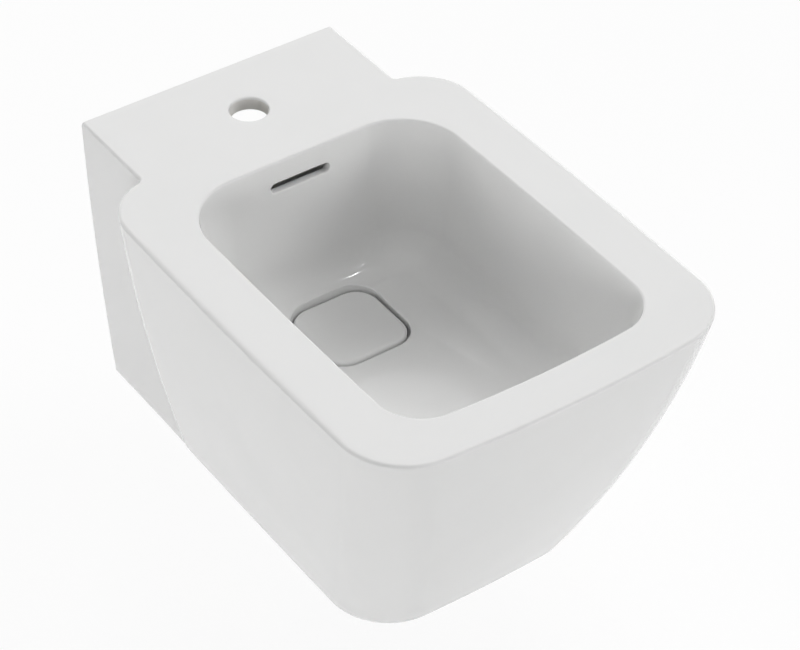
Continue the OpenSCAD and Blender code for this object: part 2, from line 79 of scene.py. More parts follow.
class Sock:
    """A shader socket that takes part in Python arithmetic."""

    def __init__(self, graph: "Graph", link: bpy.types.NodeSocket | None) -> None:
        """Wraps an output of a graph, or None for a node that ends it."""
        self.graph = graph
        self.link = link

    def _math(self, operation: str, *values: Any) -> "Sock":
        """Result of a Math node on values, in order."""
        return self.graph.node("ShaderNodeMath", {"operation": operation}, dict(enumerate(values)))

    def __add__(self, other: Any) -> "Sock":
        """Sum."""
        return self._math("ADD", self, other)

    def __sub__(self, other: Any) -> "Sock":
        """Difference."""
        return self._math("SUBTRACT", self, other)

    def __rsub__(self, other: Any) -> "Sock":
        """Difference with a plain number on the left."""
        return self._math("SUBTRACT", other, self)

    def __mul__(self, other: Any) -> "Sock":
        """Product."""
        return self._math("MULTIPLY", self, other)

    def above(self, edge: float, width: float) -> "Sock":
        """Mask that rises smoothly from 0 at an edge to 1 a width above it."""
        inputs = {"Value": self, "From Min": edge, "From Max": edge + width}
        return self.graph.node("ShaderNodeMapRange", {"interpolation_type": "SMOOTHSTEP"}, inputs)

    __radd__ = __add__
    __rmul__ = __mul__


class Graph:
    """The nodes of one material or of the world."""

    def __init__(self, tree: bpy.types.NodeTree) -> None:
        """Empties a node tree and takes it over."""
        self.tree = tree
        self.clouds: dict["Cloud", Sock] = {}
        tree.nodes.clear()

    def node(
        self, kind: str, settings: dict[str, Any], inputs: dict[Any, Any], output: int | str = 0
    ) -> Sock:
        """Adds a node.

        Args:
            kind: Type of the node.
            settings: Its properties, set first.
            inputs: Values or links by the name or place of the input socket.
            output: Name or place of the output wanted.

        Returns:
            The output.
        """
        made = self.tree.nodes.new(kind)
        for name, value in settings.items():
            setattr(made, name, value)
        for key, value in inputs.items():
            if isinstance(value, Sock):
                self.tree.links.new(value.link, made.inputs[key])
            else:
                made.inputs[key].default_value = value
        return Sock(self, made.outputs[output] if len(made.outputs) else None)


# ---- finishes


@dataclass(frozen=True)
class Tint:
    """A colour in linear light."""

    red: float
    green: float
    blue: float

    def rgba(self) -> tuple[float, float, float, float]:
        """The colour with full cover."""
        return (self.red, self.green, self.blue, 1.0)


@dataclass(frozen=True)
class Cloud:
    """Noise that is fixed to the object: size of its patches, finer layers and their weight."""

    size: float
    detail: float = 2.0
    weight: float = 0.5
    squeeze: tuple[float, float, float] | None = None

    def on(self, graph: Graph) -> Sock:
        """Lays the noise on the object, once for each material.

        Args:
            graph: Graph of the material.

        Returns:
            The noise, from 0 to 1.
        """
        if self not in graph.clouds:
            at = graph.node("ShaderNodeTexCoord", {}, {}, "Object")
            if self.squeeze:
                inputs: dict[Any, Any] = {0: at, 1: self.squeeze}
                at = graph.node("ShaderNodeVectorMath", {"operation": "MULTIPLY"}, inputs)
            inputs = {"Vector": at, "Scale": 1.0 / (self.size * MM)}
            inputs |= {"Detail": self.detail, "Roughness": self.weight}
            graph.clouds[self] = graph.node("ShaderNodeTexNoise", {}, inputs, "Fac")
        return graph.clouds[self]


@dataclass(frozen=True)
class Finish:
    """A finish of the object: two tones in clouds, an uneven gloss and layers of fine relief.

    Each layer of the relief is its noise and its depth. The slot is the record's slot.
    """

    name: str
    slot: str
    body: Tint
    second: Tint
    tones: Cloud
    gloss: Cloud
    roughness: float
    unevenness: float
    relief: tuple[tuple[Cloud, float], ...]
    edge: float = 0.45
    width: float = 0.3
    metallic: float = 0.0
    ior: float = 1.5

    def material(self) -> bpy.types.Material:
        """The material, made at its first use.

        Returns:
            The material.
        """
        made = bpy.data.materials.get(self.name)
        if made is None:
            made = bpy.data.materials.new(self.name)
            made.use_nodes = True
            graph = Graph(made.node_tree)
            shader = graph.node("ShaderNodeBsdfPrincipled", {}, self.shader(graph))
            graph.node("ShaderNodeOutputMaterial", {}, {"Surface": shader})
        return made

    def shader(self, graph: Graph) -> dict[str, Any]:
        """Inputs of the surface shader.

        Args:
            graph: Graph of the material.

        Returns:
            Values or links by socket name.
        """
        mask = self.tones.on(graph).above(self.edge, self.width)
        tones = {"Factor": mask, 6: self.body.rgba(), 7: self.second.rgba()}
        inputs = {
            "Base Color": graph.node("ShaderNodeMix", {"data_type": "RGBA"}, tones, 2),
            "Metallic": self.metallic,
            "Roughness": self.gloss.on(graph) * self.unevenness + self.roughness,
            "IOR": self.ior,
        }
        for cloud, depth in self.relief:
            bump = {"Height": cloud.on(graph), "Distance": depth * MM, "Strength": 1.0}
            if "Normal" in inputs:
                bump["Normal"] = inputs["Normal"]
            inputs["Normal"] = graph.node("ShaderNodeBump", {}, bump, "Normal")
        return inputs


def turning(depth: float) -> tuple[tuple[Cloud, float], ...]:
    """Relief of turning marks round an upright axis."""
    return ((Cloud(0.35, squeeze=(0.04, 0.04, 1.0)), depth),)


GLAZE = Finish(
    name="white_glaze",
    slot="glaze",
    body=Tint(0.866, 0.866, 0.861),
    second=Tint(0.8555, 0.857, 0.8515),
    tones=Cloud(90.0),
    edge=0.42,
    gloss=Cloud(34.0, 3.0),
    roughness=0.045,
    unevenness=0.04,
    relief=((Cloud(46.0, 1.0), 0.055), (Cloud(2.6), 0.0016)),
)
RAW_CERAMIC = Finish(
    name="raw_ceramic",
    slot="glaze",
    body=Tint(0.70, 0.685, 0.65),
    second=Tint(0.76, 0.75, 0.73),
    tones=Cloud(38.0, 4.0, 0.6),
    edge=0.35,
    width=0.35,
    gloss=Cloud(1.1, 3.0, 0.7),
    roughness=0.66,
    unevenness=0.12,
    relief=((Cloud(7.0, 3.0, squeeze=(1.0, 1.0, 0.35)), 0.25), (Cloud(1.1, 3.0, 0.7), 0.05)),
    ior=1.48,
)
PLASTIC = Finish(
    name="moulded_plastic",
    slot="plastic",
    body=Tint(0.72, 0.72, 0.70),
    second=Tint(0.66, 0.655, 0.63),
    tones=Cloud(9.0, 3.0, squeeze=(1.0, 1.0, 3.0)),
    edge=0.4,
    gloss=Cloud(9.0, 3.0, squeeze=(1.0, 1.0, 3.0)),
    roughness=0.36,
    unevenness=0.14,
    relief=((Cloud(0.35), 0.012),),
    ior=1.46,
)
RUBBER = Finish(
    name="black_rubber",
    slot="rubber",
    body=Tint(0.018, 0.018, 0.019),
    second=Tint(0.055, 0.055, 0.056),
    tones=Cloud(6.0, 4.0, 0.6),
    gloss=Cloud(6.0, 4.0, 0.6),
    roughness=0.55,
    unevenness=0.2,
    relief=((Cloud(0.6), 0.02),),
    ior=1.52,
)
CHROME = Finish(
    name="chrome_plate",
    slot="chrome",
    body=Tint(0.70, 0.71, 0.72),
    second=Tint(0.60, 0.61, 0.62),
    tones=Cloud(8.0, 4.0, 0.6),
    gloss=Cloud(8.0, 4.0, 0.6),
    roughness=0.10,
    unevenness=0.08,
    relief=turning(0.004),
    metallic=1.0,
)
BRASS = replace(
    CHROME,
    name="turned_brass",
    slot="brass",
    body=Tint(0.62, 0.44, 0.17),
    second=Tint(0.48, 0.33, 0.13),
    roughness=0.24,
    relief=turning(0.012),
)
STEEL = replace(
    CHROME,
    name="spring_steel",
    slot="steel",
    body=Tint(0.52, 0.52, 0.53),
    second=Tint(0.40, 0.39, 0.38),
    roughness=0.26,
    relief=turning(0.006),
)


# ---- meshes


def arc(
    cx: float, cy: float, r: float, start: float, end: float, steps: int, skip: int = 0
) -> Points:
    """Points of an arc round a centre between two angles, without the first few."""
    turn = np.radians(np.linspace(start, end, steps + 1))[skip:]
    return np.column_stack([cx + r * np.cos(turn), cy + r * np.sin(turn)])


def circle(cx: float, cy: float, r: float, steps: int) -> Points:
    """Points of a whole circle."""
    return arc(cx, cy, r, 0, 360, steps)[:-1]


def between(start: Sequence[float], end: Sequence[float], steps: int) -> Points:
    """Points between two ends, without the ends."""
    share = (np.arange(1, steps) / steps)[:, None]
    return np.asarray(start) * (1 - share) + np.asarray(end) * share


def blend(low: Any, high: Any, share: Any) -> Any:
    """Value part of the way from low to high."""
    return low + (high - low) * share


def smooth(share: Any) -> Any:
    """A share from 0 to 1, eased at both ends."""
    return share * share * (3 - 2 * share)


def raised(outline: Points, z: Any) -> Points:
    """An outline in the plane, put at a height, or at one for each point."""
    return np.column_stack([outline[:, :2], np.broadcast_to(z, len(outline))])


def hoop(r: Any, z: float, y: float, steps: int) -> Points:
    """Ring round an upright axis at X 0. The radius is one number or one for each step."""
    turn = np.arange(steps) * 2 * math.pi / steps
    return np.column_stack([r * np.cos(turn), r * np.sin(turn) + y, np.full(steps, z)])


def rounding(r: float, start: float, end: float, steps: int) -> list[tuple[float, float]]:
    """Steps round an edge: how far in from its side and how far below its top each lies."""
    turned = np.radians(np.linspace(start, end, steps))
    return [(r * (1 - math.cos(a)), r * (1 - math.sin(a))) for a in turned]


def contains(polygon: Points, at: Points) -> bool:
    """Whether a polygon holds a point.

    Args:
        polygon: Corners of the polygon.
        at: The point.

    Returns:
        True if it is inside.
    """
    after = np.roll(polygon, -1, axis=0)
    crosses = (polygon[:, 1] > at[1]) != (after[:, 1] > at[1])
    here, after = polygon[crosses], after[crosses]
    share = (at[1] - here[:, 1]) / (after[:, 1] - here[:, 1])
    return bool(np.count_nonzero(at[0] < blend(here[:, 0], after[:, 0], share)) % 2)


class Skin:
    """Collects the points and faces of one mesh."""

    def __init__(self) -> None:
        """Starts with nothing."""
        self.points: list[tuple[float, float, float]] = []
        self.faces: list[tuple[int, ...]] = []

    def ring(self, points: Points) -> Loop:
        """Adds points.

        Args:
            points: Their places, one to a row.

        Returns:
            Their indices.
        """
        start = len(self.points)
        self.points.extend(map(tuple, points.tolist()))
        return list(range(start, len(self.points)))

    def band(self, low: Loop, high: Loop, skip: frozenset[int] = frozenset()) -> None:
        """Joins two rings with quads.

        Args:
            low: The first ring.
            high: The second ring.
            skip: Places along the ring that stay open.
        """
        n = len(low)
        for i in range(n):
            if i not in skip:
                j = (i + 1) % n
                self.faces.append((low[i], low[j], high[j], high[i]))

    def stack(self, rings: Sequence[Points], after: Loop | None = None) -> list[Loop]:
        """Adds rings and joins each to the one before.

        Args:
            rings: The rings, in order.
            after: Ring that the first of them is joined to.

        Returns:
            The new rings.
        """
        loops = [self.ring(r) for r in rings]
        chain = loops if after is None else [after, *loops]
        for low, high in zip(chain, chain[1:]):
            self.band(low, high)
        return loops

    def wrap(self, rings: Sequence[Points]) -> None:
        """Adds rings as stack does, and joins the last to the first."""
        loops = self.stack(rings)
        self.band(loops[-1], loops[0])

    def cap(self, loop: Loop, hub: Sequence[float]) -> None:
        """Closes a ring with triangles to a point."""
        (centre,) = self.ring(np.array([hub], float))
        self.faces += [(a, b, centre) for a, b in zip(loop, loop[1:] + loop[:1])]

    def sheet(self, outer: Loop, holes: Sequence[Loop], axes: tuple[int, int]) -> None:
        """Fills a flat region with holes.

        Args:
            outer: Loop round the region.
            holes: Loops of its holes.
            axes: The two coordinates that the region is drawn in.
        """
        loops = [outer, *holes]
        known = [i for loop in loops for i in loop]
        places = [Vector([self.points[i][a] for a in axes]) for i in known]
        edges: list[tuple[int, int]] = []
        for loop in loops:
            start, n = len(edges), len(loop)
            edges += [(start + i, start + (i + 1) % n) for i in range(n)]
        points, _, faces, origin, _, _ = delaunay_2d_cdt(places, edges, [], 1, 1e-6)
        voids = [np.array([[self.points[i][a] for a in axes] for i in loop]) for loop in holes]
        for face in faces:
            middle = np.mean([points[i][:] for i in face], axis=0)
            if not any(contains(v, middle) for v in voids):
                self.faces.append(tuple(known[origin[i][0]] for i in face))

    def build(self, name: str, finish: Finish, sharp: float = SHARP) -> Object:
        """Makes the object.

        Args:
            name: Its name.
            finish: Its finish.
            sharp: Angle above which an edge stays sharp.

        Returns:
            The object.
        """
        mesh = bpy.data.meshes.new(name)
        mesh.from_pydata([tuple(c * MM for c in p) for p in self.points], [], self.faces)
        outward = bmesh.new()
        outward.from_mesh(mesh)
        bmesh.ops.recalc_face_normals(outward, faces=outward.faces)
        outward.to_mesh(mesh)
        outward.free()
        made = bpy.data.objects.new(name, mesh)
        bpy.context.scene.collection.objects.link(made)
        made.data.materials.append(finish.material())
        shade(made, sharp)
        return made


def shade(made: Object, sharp: float) -> None:
    """Shades an object smooth between the edges that are sharper than an angle."""
    made.data.shade_smooth()
    made.data.set_sharp_from_angle(angle=math.radians(sharp))


def apply_modifiers(made: Object) -> None:
    """Puts what the modifiers of an object do into its mesh.

    Args:
        made: The object.
    """
    graph = bpy.context.evaluated_depsgraph_get()
    old = made.data
    made.data = bpy.data.meshes.new_from_object(made.evaluated_get(graph))
    made.modifiers.clear()
    bpy.data.meshes.remove(old)


def cut(made: Object, tools: Sequence[Object], how: Cut = Cut.REMOVE) -> None:
    """Removes tools from an object or joins them to it, and deletes the tools.

    Args:
        made: The object.
        tools: The tools.
        how: Whether they are removed or joined.
    """
    for tool in tools:
        step = made.modifiers.new("cut", "BOOLEAN")
        step.operation = how.value
        step.solver = "MANIFOLD"
        step.object = tool
    apply_modifiers(made)
    for tool in tools:
        bpy.data.objects.remove(tool)


def loft(name: str, rings: Sequence[Points], finish: Finish) -> Object:
    """Closed solid through rings, flat at both ends.

    Args:
        name: Its name.
        rings: The rings, in order.
        finish: Its finish.

    Returns:
        The object.
    """
    skin = Skin()
    loops = skin.stack(rings)
    skin.faces += [tuple(loops[0]), tuple(loops[-1])]
    return skin.build(name, finish)


def softened(corners: Rows, radius: float, steps: int = 4) -> list[tuple[float, float]]:
    """A closed profile with each corner rounded.

    Args:
        corners: The corners, in order.
        radius: Radius of the rounding.
        steps: Steps of each rounding.

    Returns:
        The points of the rounded profile.
    """
    most = 0.45
    points: list[tuple[float, float]] = []
    n = len(corners)
    for i in range(n):
        before, at, after = (np.array(corners[(i + k) % n], float) for k in (-1, 0, 1))
        sides = [before - at, after - at]
        reach = min(radius, *(most * np.linalg.norm(side) for side in sides))
        start, end = (at + side / np.linalg.norm(side) * reach for side in sides)
        for t in np.arange(steps + 1) / steps:
            x, y = (1 - t) ** 2 * start + 2 * t * (1 - t) * at + t * t * end
            points.append((float(x), float(y)))
    return points


def oblong(inner: float, outer: float, low: float, high: float) -> list[tuple[float, float]]:
    """Corners of a ring's profile between two radii and two heights."""
    return [(inner, low), (outer, low), (outer, high), (inner, high)]


def stand_in(made: Object, body: Body, node: str, finish: Finish) -> Object:
    """Puts a piece in the place of a CAD node.

    Args:
        made: The piece.
        body: The body that it rides on.
        node: The node.
        finish: Not used.

    Returns:
        The piece.
    """
    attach(made, body.value)
    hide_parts(node)
    return made


# ---- the casting


@dataclass
class Casting:
    """The vitreous casting: outer shell, rim, tap deck, basin, recess, overflow and lugs.

    The steps say how finely each stretch is built. The flat of a rounding is the narrow ring
    round it that lies in the surface.
    """

    rim_width: float = 353.9
    projection: float = 532.5
    body_height: float = 291.5
    rim_z: float = 85.0
    deck_width: float = 260.0
    base_width: float = 237.6
    rear_base_width: float = 233.6
    base_projection: float = 423.5
    flank_swell: float = 0.39
    rear_swell: float = 0.75
    shoulder_y: float = 99.0
    shoulder_base_y: float = 82.0
    shoulder_r: float = 52.0
    front_r: float = 53.0
    base_front_r: float = 54.0
    valley_r: float = 5.0
    front_bow: float = 10.0
    base_front_bow: float = 4.5
    side_bow: float = 3.2
    base_side_bow: float = 1.0
    edge_drop: float = 3.2
    deck_ease: float = 3.2
    side_ease: float = 7.0
    front_ease: float = 3.0
    ease_growth: float = 130.0
    ease_decline: float = 110.0
    foot_r: float = 1.2
    shell_wall: float = 9.0
    deck_wall: float = 13.0
    basin_wall: float = 9.0
    tap_hole_r: float = 17.5
    tap_hole_y: float = 65.5
    tap_edge_r: float = 1.5
    tap_flat: float = 1.0
    tap_steps: int = 96
    tap_edge_steps: int = 8
    glazed_drop: float = 2.5
    fixing_spacing: float = 180.0
    lug_hole_r: float = 11.0
    lug_hole_steps: int = 64
    lug_depth: float = 28.0
    lug_height: float = 54.0
    lug_inner: float = 62.0
    lug_rib: float = 10.0
    basin_half: float = 124.5
    basin_back: float = 144.0
    basin_front: float = 489.0
    basin_side_bow: float = 1.6
    basin_bow: float = 7.0
    basin_back_r: float = 57.0
    basin_front_r: float = 36.5
    basin_depth: float = 140.5
    basin_lean: float = 6.0
    basin_front_lean: float = 12.0
    corner_tightening: float = 14.0
    basin_edge_r: float = 1.8
    floor_r: float = 33.0
    floor_fall: float = 3.0
    fall_run: float = 12.0
    slot_length: float = 60.0
    slot_height: float = 9.0
    slot_drop: float = 25.0
    slot_edge_r: float = 1.0
    slot_flat: float = 0.8
    slot_edge_steps: int = 6
    patch_margin: float = 4.0
    patch_side_margin: float = 3.0
    recess_half: float = 45.1
    recess_back: float = 43.2
    recess_front: float = 44.8
    recess_corner_r: float = 25.4
    recess_depth: float = 17.0
    recess_edge_r: float = 2.0
    recess_back_edge_r: float = 0.9
    recess_foot: Rows = ((0.0, 2.0), (0.6, 0.6), (2.0, 0.0))
    waste_y: float = 219.5
    waste_hole_r: float = 23.0
    pad_margin: float = 9.0
    boss_r: float = 39.0
    boss_height: float = 36.0
    duct_depth: float = 15.0
    duct_wall: float = 8.0
    duct_half: float = 31.0
    duct_mouth: float = 12.0
    duct_bevel: float = 14.0
    duct_throat: float = 5.4
    duct_roof: float = 2.0
    duct_bend_steps: int = 8
    throat_heights: tuple[float, float] = (3.0, 1.5)
    window_drop: float = 14.0
    flat_margin: float = 1.5
    overlap: float = 1.0
    past: float = 5.0
    least_step: float = 0.995
    mouth_angle: float = 46.0
    floor_crowding: float = 1.15
    hollow_steps: int = 16
    cup_steps: int = 8
    cup_shares: tuple[float, float] = (0.66, 0.33)
    voxel: float = 3.0
    melt_ease: float = 0.5
    melt_rounds: int = 4
    fine: int = 6
    coarse: int = 3
    foot_steps: int = 4
    flank_steps: int = 40
    edge_steps: int = 13
    lip_steps: int = 9
    wall_steps: int = 28
    fillet_steps: int = 11
    floor_steps: int = 37
    ground_steps: int = 41
    small_steps: int = 7
    hole_steps: int = 72
    skin: Skin = field(default_factory=Skin, init=False)
    wall_drop: float = field(init=False)
    base_z: float = field(init=False)
    floor_z: float = field(init=False)
    recess_z: float = field(init=False)
    duct_back_y: float = field(init=False)

    def __post_init__(self) -> None:
        """Works out the places that follow from the sizes."""
        self.wall_drop = self.basin_depth - self.floor_fall - self.floor_r
        self.base_z = self.rim_z - self.body_height
        self.floor_z = self.rim_z - self.basin_depth
        self.recess_z = self.floor_z - self.recess_depth
        self.duct_back_y = self.duct_depth + self.basin_wall - self.basin_back

    @staticmethod
    def _whole(
        points: Points, half: float, back: float, front: float, side: float, fore: float
    ) -> Points:
        """Joins a half outline to its mirror image, and bows its sides and front outwards.

        Args:
            points: Points of the half with X above 0.
            half: Half the width.
            back: Y behind which nothing bows.
            front: Y of the front.
            side: Bow of each side.
            fore: Bow of the front.

        Returns:
            The whole outline.
        """
        mirrored = points[::-1]
        points = np.vstack([points, mirrored[mirrored[:, 0] > 0.01] * [-1, 1]])
        u = points[:, 0] / half
        v = (points[:, 1] - (back + front) / 2) / ((back - front) / 2)
        x = points[:, 0] + side * u * np.maximum(0, 1 - v * v)
        y = points[:, 1] + np.where(v < 0, fore * v * np.maximum(0, 1 - u * u), 0)
        return np.column_stack([x, y])

    def body_outline(self, h: float, inset: float, back: float, m: int) -> Points:
        """Outline of the body at a height above its base.

        Args:
            h: The height.
            inset: How far the outline is drawn in.
            back: Y of its rear end.
            m: Fineness, which each stretch has a few steps of.

        Returns:
            The outline, from the wall round the front and back to the wall.
        """
        t = h / self.body_height
        leaned = t + self.flank_swell * t * (1 - t)
        rear_leaned = t + self.rear_swell * t * (1 - t)
        fore = blend(self.base_front_bow, self.front_bow, t)
        side = blend(self.base_side_bow, self.side_bow, t)
        half = blend(self.base_width, self.rim_width, leaned) / 2 - side - inset
        rear = blend(self.rear_base_width, self.deck_width, rear_leaned) / 2 - inset
        front = fore - blend(self.base_projection, self.projection, leaned) + inset
        back_line = -blend(self.shoulder_base_y, self.shoulder_y, t) - inset
        r_shoulder, r_valley = self.shoulder_r - inset, self.valley_r + inset
        r = blend(self.base_front_r, self.front_r, t) - inset
        reach = r_shoulder + r_valley
        turn = math.degrees(math.acos(min(self.least_step, (reach - half + rear) / reach)))
        shoulder_cy = back_line - r_shoulder
        valley_cy = shoulder_cy + reach * math.sin(math.radians(turn))
        stretches = [
            [[rear, back]],
            between((rear, back), (rear, valley_cy), 3 * m),
            arc(rear + r_valley, valley_cy, r_valley, 180, 180 + turn, 4 * m),
            arc(half - r_shoulder, shoulder_cy, r_shoulder, turn, 0, 6 * m, 1),
            between((half, shoulder_cy), (half, front + r), 7 * m),
            arc(half - r, front + r, r, 0, -90, 7 * m),
            between((half - r, front), (0, front), 4 * m),
            [[0, front]],
        ]
        return self._whole(np.vstack(stretches), half, back_line, front, side, fore)

    def basin_outline(
        self,
        half: float,
        back: float,
        front: float,
        radii: tuple[float, float],
        bows: tuple[float, float],
        m: int,
    ) -> Points:
        """Outline with round corners, which can bow.

        Args:
            half: Half its width.
            back: Distance from the wall to its back.
            front: Distance from the wall to its front.
            radii: Radius of the back corners and of the front corners.
            bows: Bow of each side and of the front.
            m: Fineness.

        Returns:
            The outline, from the middle of its back.
        """
        r_back, r = radii
        stretches = [
            [[0, -back]],
            between((0, -back), (half - r_back, -back), 3 * m),
            arc(half - r_back, -back - r_back, r_back, 90, 0, 7 * m),
            between((half, -back - r_back), (half, -front + r), 6 * m),
            arc(half - r, -front + r, r, 0, -90, 7 * m),
            between((half - r, -front), (0, -front), 4 * m),
            [[0, -front]],
        ]
        return self._whole(np.vstack(stretches), half, -back, -front, *bows)

    def basin_ring(self, drop: float, angle: float, grow: float, m: int) -> Points:
        """Ring of the walls of the basin or of their round foot.

        Args:
            drop: How far the walls have come down from the rim.
            angle: How far they have turned towards the floor.
            grow: How far the ring is moved outwards.
            m: Fineness.

        Returns:
            The ring.
        """
        turned = math.radians(angle)
        tuck = (self.floor_r + grow) * (1 - math.cos(turned)) - grow
        side = drop * math.tan(math.radians(self.basin_lean)) + tuck
        fore = drop * math.tan(math.radians(self.basin_front_lean)) + tuck
        tighter = self.corner_tightening * drop / self.wall_drop
        outline = self.basin_outline(
            self.basin_half - side,
            self.basin_back + side,
            self.basin_front - self.basin_bow - fore,
            (self.basin_back_r - tighter - tuck, self.basin_front_r - tuck),
            (self.basin_side_bow, self.basin_bow),
            m,
        )
        return raised(outline, self.rim_z - drop - (self.floor_r + grow) * math.sin(turned))

    def _fillet(self, angle: float) -> Points:
        """Ring of the round foot of the walls, turned from the wall towards the floor."""
        return self.basin_ring(self.wall_drop, float(angle), 0, self.fine)

    def recess_outline(self, grow: float, m: int) -> Points:
        """Outline of the recess of the waste cover.

        Args:
            grow: How far the outline is moved outwards.
            m: Fineness.

        Returns:
            The outline.
        """
        half, r = self.recess_half + grow, self.recess_corner_r + grow
        back = self.waste_y - self.recess_back - grow
        front = self.waste_y + self.recess_front + grow
        return self.basin_outline(half, back, front, (r, r), (0, 0), m)

    def edge_ring(self, out: float, down: float, extra: float = 0.0) -> Points:
        """Ring of the rounded outer edge.

        Args:
            out: How far it is drawn in, as a share of the rounding.
            down: How far it lies below the rim, as a share of the rounding.
            extra: How far it is drawn in beyond the rounding.

        Returns:
            The ring.
        """
        h = self.body_height - self.edge_drop * down
        plan = self.body_outline(h, 0, 0, self.fine)
        inward = self.body_outline(h, 1, 0, self.fine) - plan
        reached = np.clip((-plan[:, 1] - self.shoulder_y) / self.ease_growth, 0, 1)
        ahead = np.clip(1 - (self.projection + plan[:, 1]) / self.ease_decline, 0, 1)
        ease = blend(self.deck_ease, self.side_ease, smooth(reached))
        ease = blend(ease, self.front_ease, smooth(ahead))
        return raised(plan + inward * (ease * out + extra)[:, None], self.base_z + h)

    def _outside(self) -> Loop:
        """Adds the foot, the flanks and the outer edge.

        Returns:
            The last ring, flat on the rim.
        """
        levels = rounding(self.foot_r, 0, 90, self.foot_steps)
        top = self.body_height - self.edge_drop - self.overlap
        levels += [(float(h), 0.0) for h in np.linspace(self.foot_r, top, self.flank_steps)[1:]]
        rings = []
        for h, inset in levels:
            rings.append(raised(self.body_outline(h, inset, 0, self.fine), self.base_z + h))
        rings += [self.edge_ring(*step) for step in rounding(1.0, 0, 90, self.edge_steps)]
        loops = self.skin.stack([*rings, self.edge_ring(1.0, 0.0, self.flat_margin)])
        self.skin.cap(loops[0], (0, -self.waste_y, self.base_z))
        return loops[-1]

    def _basin(self) -> Loop:
        """Adds the basin from the rim to the bottom of the recess, with the overflow slot.

        Returns:
            The first ring, flat on the rim.
        """
        skin, m, r = self.skin, self.fine, self.basin_edge_r
        first = skin.ring(self.basin_ring(0, 0, r + self.flat_margin, m))
        edge = rounding(r, 90, 0, self.lip_steps)
        lip = [self.basin_ring(drop, 0, grow, m) for grow, drop in edge]
        chain = [skin.stack(lip, first)[-1]]
        depths = [float(d) for d in np.linspace(r, self.wall_drop, self.wall_steps)]
        chain += [skin.ring(self.basin_ring(d, 0, 0, m)) for d in depths[1:]]
        self._slotted_wall(chain, depths)
        turns = np.linspace(0, self.mouth_angle, self.fillet_steps)[1:]
        last = skin.stack([self._fillet(a) for a in turns], chain[-1])[-1]
        start, ground = self._fillet(self.mouth_angle), self._ground()
        inner, outer = self.recess_outline(0, m), self.recess_outline(1, m)
        behind = np.clip(0.5 + (inner[:, 1] + self.waste_y) / (2 * self.recess_half), 0, 1)
        lip_r = blend(self.recess_edge_r, self.recess_back_edge_r, smooth(behind))[:, None]

        def settled(plan: Points, sink: Any) -> Points:
            """One ring that follows the fillet and the floor, sunk by a depth."""
            down = Vector((0, 0, -1))
            heights = [ground.ray_cast(Vector((x, y, self.rim_z)), down)[0].z for x, y in plan]
            return raised(plan, np.array(heights) - sink)

        mouth = inner + (outer - inner) * (lip_r + self.flat_margin / 2)
        shares = np.linspace(0, 1, self.floor_steps)[1:] ** self.floor_crowding
        floor = [settled(blend(start[:, :2], mouth, float(s)), 0) for s in shares]
        for out, down in rounding(1.0, 90, 0, self.small_steps):
            floor.append(settled(inner + (outer - inner) * lip_r * out, lip_r[:, 0] * down))
        for inset, rise in self.recess_foot:
            floor.append(raised(self.recess_outline(-inset, m), self.recess_z + rise))
        skin.cap(skin.stack(floor, last)[-1], (0, -self.waste_y, self.recess_z))
        return first

    def _slotted_wall(self, chain: Sequence[Loop], depths: Sequence[float]) -> None:
        """Joins the rings of the basin's walls, round the overflow slot.

        Args:
            chain: The rings, which start in the middle of the back.
            depths: Depth of each ring below the rim.
        """
        skin, n = self.skin, len(chain[0])
        reach = self.slot_height / 2 + self.patch_margin
        above = max(k for k, d in enumerate(depths) if d < self.slot_drop - reach)
        below = min(k for k, d in enumerate(depths) if d > self.slot_drop + reach)
        side = self.slot_length / 2 + self.patch_side_margin
        columns = next(i for i in range(n) if skin.points[chain[0][i]][0] > side)
        patch = frozenset([*range(columns), *range(n - columns, n)])
        for k, (low, high) in enumerate(zip(chain, chain[1:])):
            skin.band(low, high, patch if above <= k < below else frozenset())
        row = [*range(n - columns, n), *range(columns + 1)]
        around = [chain[above][i] for i in row]
        around += [chain[k][columns] for k in range(above + 1, below)]
        around += [chain[below][i] for i in reversed(row)]
        around += [chain[k][n - columns] for k in range(below - 1, above, -1)]
        skin.sheet(around, [self._slot()], (0, 2))

    def _ground(self) -> BVHTree:
        """Foot and floor of the basin without the recess, to find heights on.

        Returns:
            The tree of the surface.
        """
        skin = Skin()
        before, turns = 2.0, 100
        angles = np.linspace(self.mouth_angle - before, 90, turns)
        last = skin.stack([self._fillet(a) for a in angles])[-1]
        edge = self._fillet(90.0)
        half, r = self.recess_half - self.overlap, self.recess_corner_r - self.overlap
        back = self.waste_y - self.recess_back + self.overlap
        back = max(back, self.fall_run - float(edge[0, 1]))
        front = self.waste_y + self.recess_front - self.overlap
        low = self.basin_outline(half, back, front, (r, r), (0, 0), self.fine)
        floor = []
        for s in map(float, np.linspace(0, 1, self.ground_steps)[1:]):
            z = self.floor_z + self.floor_fall * (1 - s * s * (2 - s))
            floor.append(raised(blend(edge[:, :2], low, s), z))
        skin.cap(skin.stack(floor, last)[-1], (0, -self.waste_y, self.floor_z))
        return BVHTree.FromPolygons(skin.points, skin.faces)

    def _slot(self) -> Loop:
        """Adds the pocket of the overflow slot, through the back wall into the duct.

        Returns:
            Its outermost loop, on the wall.
        """
        straight = (self.slot_length - self.slot_height) / 2
        tilt = math.tan(math.radians(self.basin_lean))
        far_y = self.duct_back_y - self.duct_depth / 2

        def ring(grow: float, depth: float | None) -> Points:
            """One loop of the pocket: grown outwards, and set back by depth or at its far end."""
            r, steps = self.slot_height / 2 + grow, 16
            right = arc(straight, 0, r, -90, 90, steps)
            left = arc(-straight, 0, r, 90, 270, steps)
            top, low = between(right[-1], left[0], steps), between(left[-1], right[0], steps)
            flat = np.vstack([right, top, left, low])
            z = self.rim_z - self.slot_drop + flat[:, 1]
            y = -self.basin_back - (self.rim_z - z) * tilt
            y = np.full(len(flat), far_y) if depth is None else y + depth
            return np.column_stack([flat[:, 0], y, z])

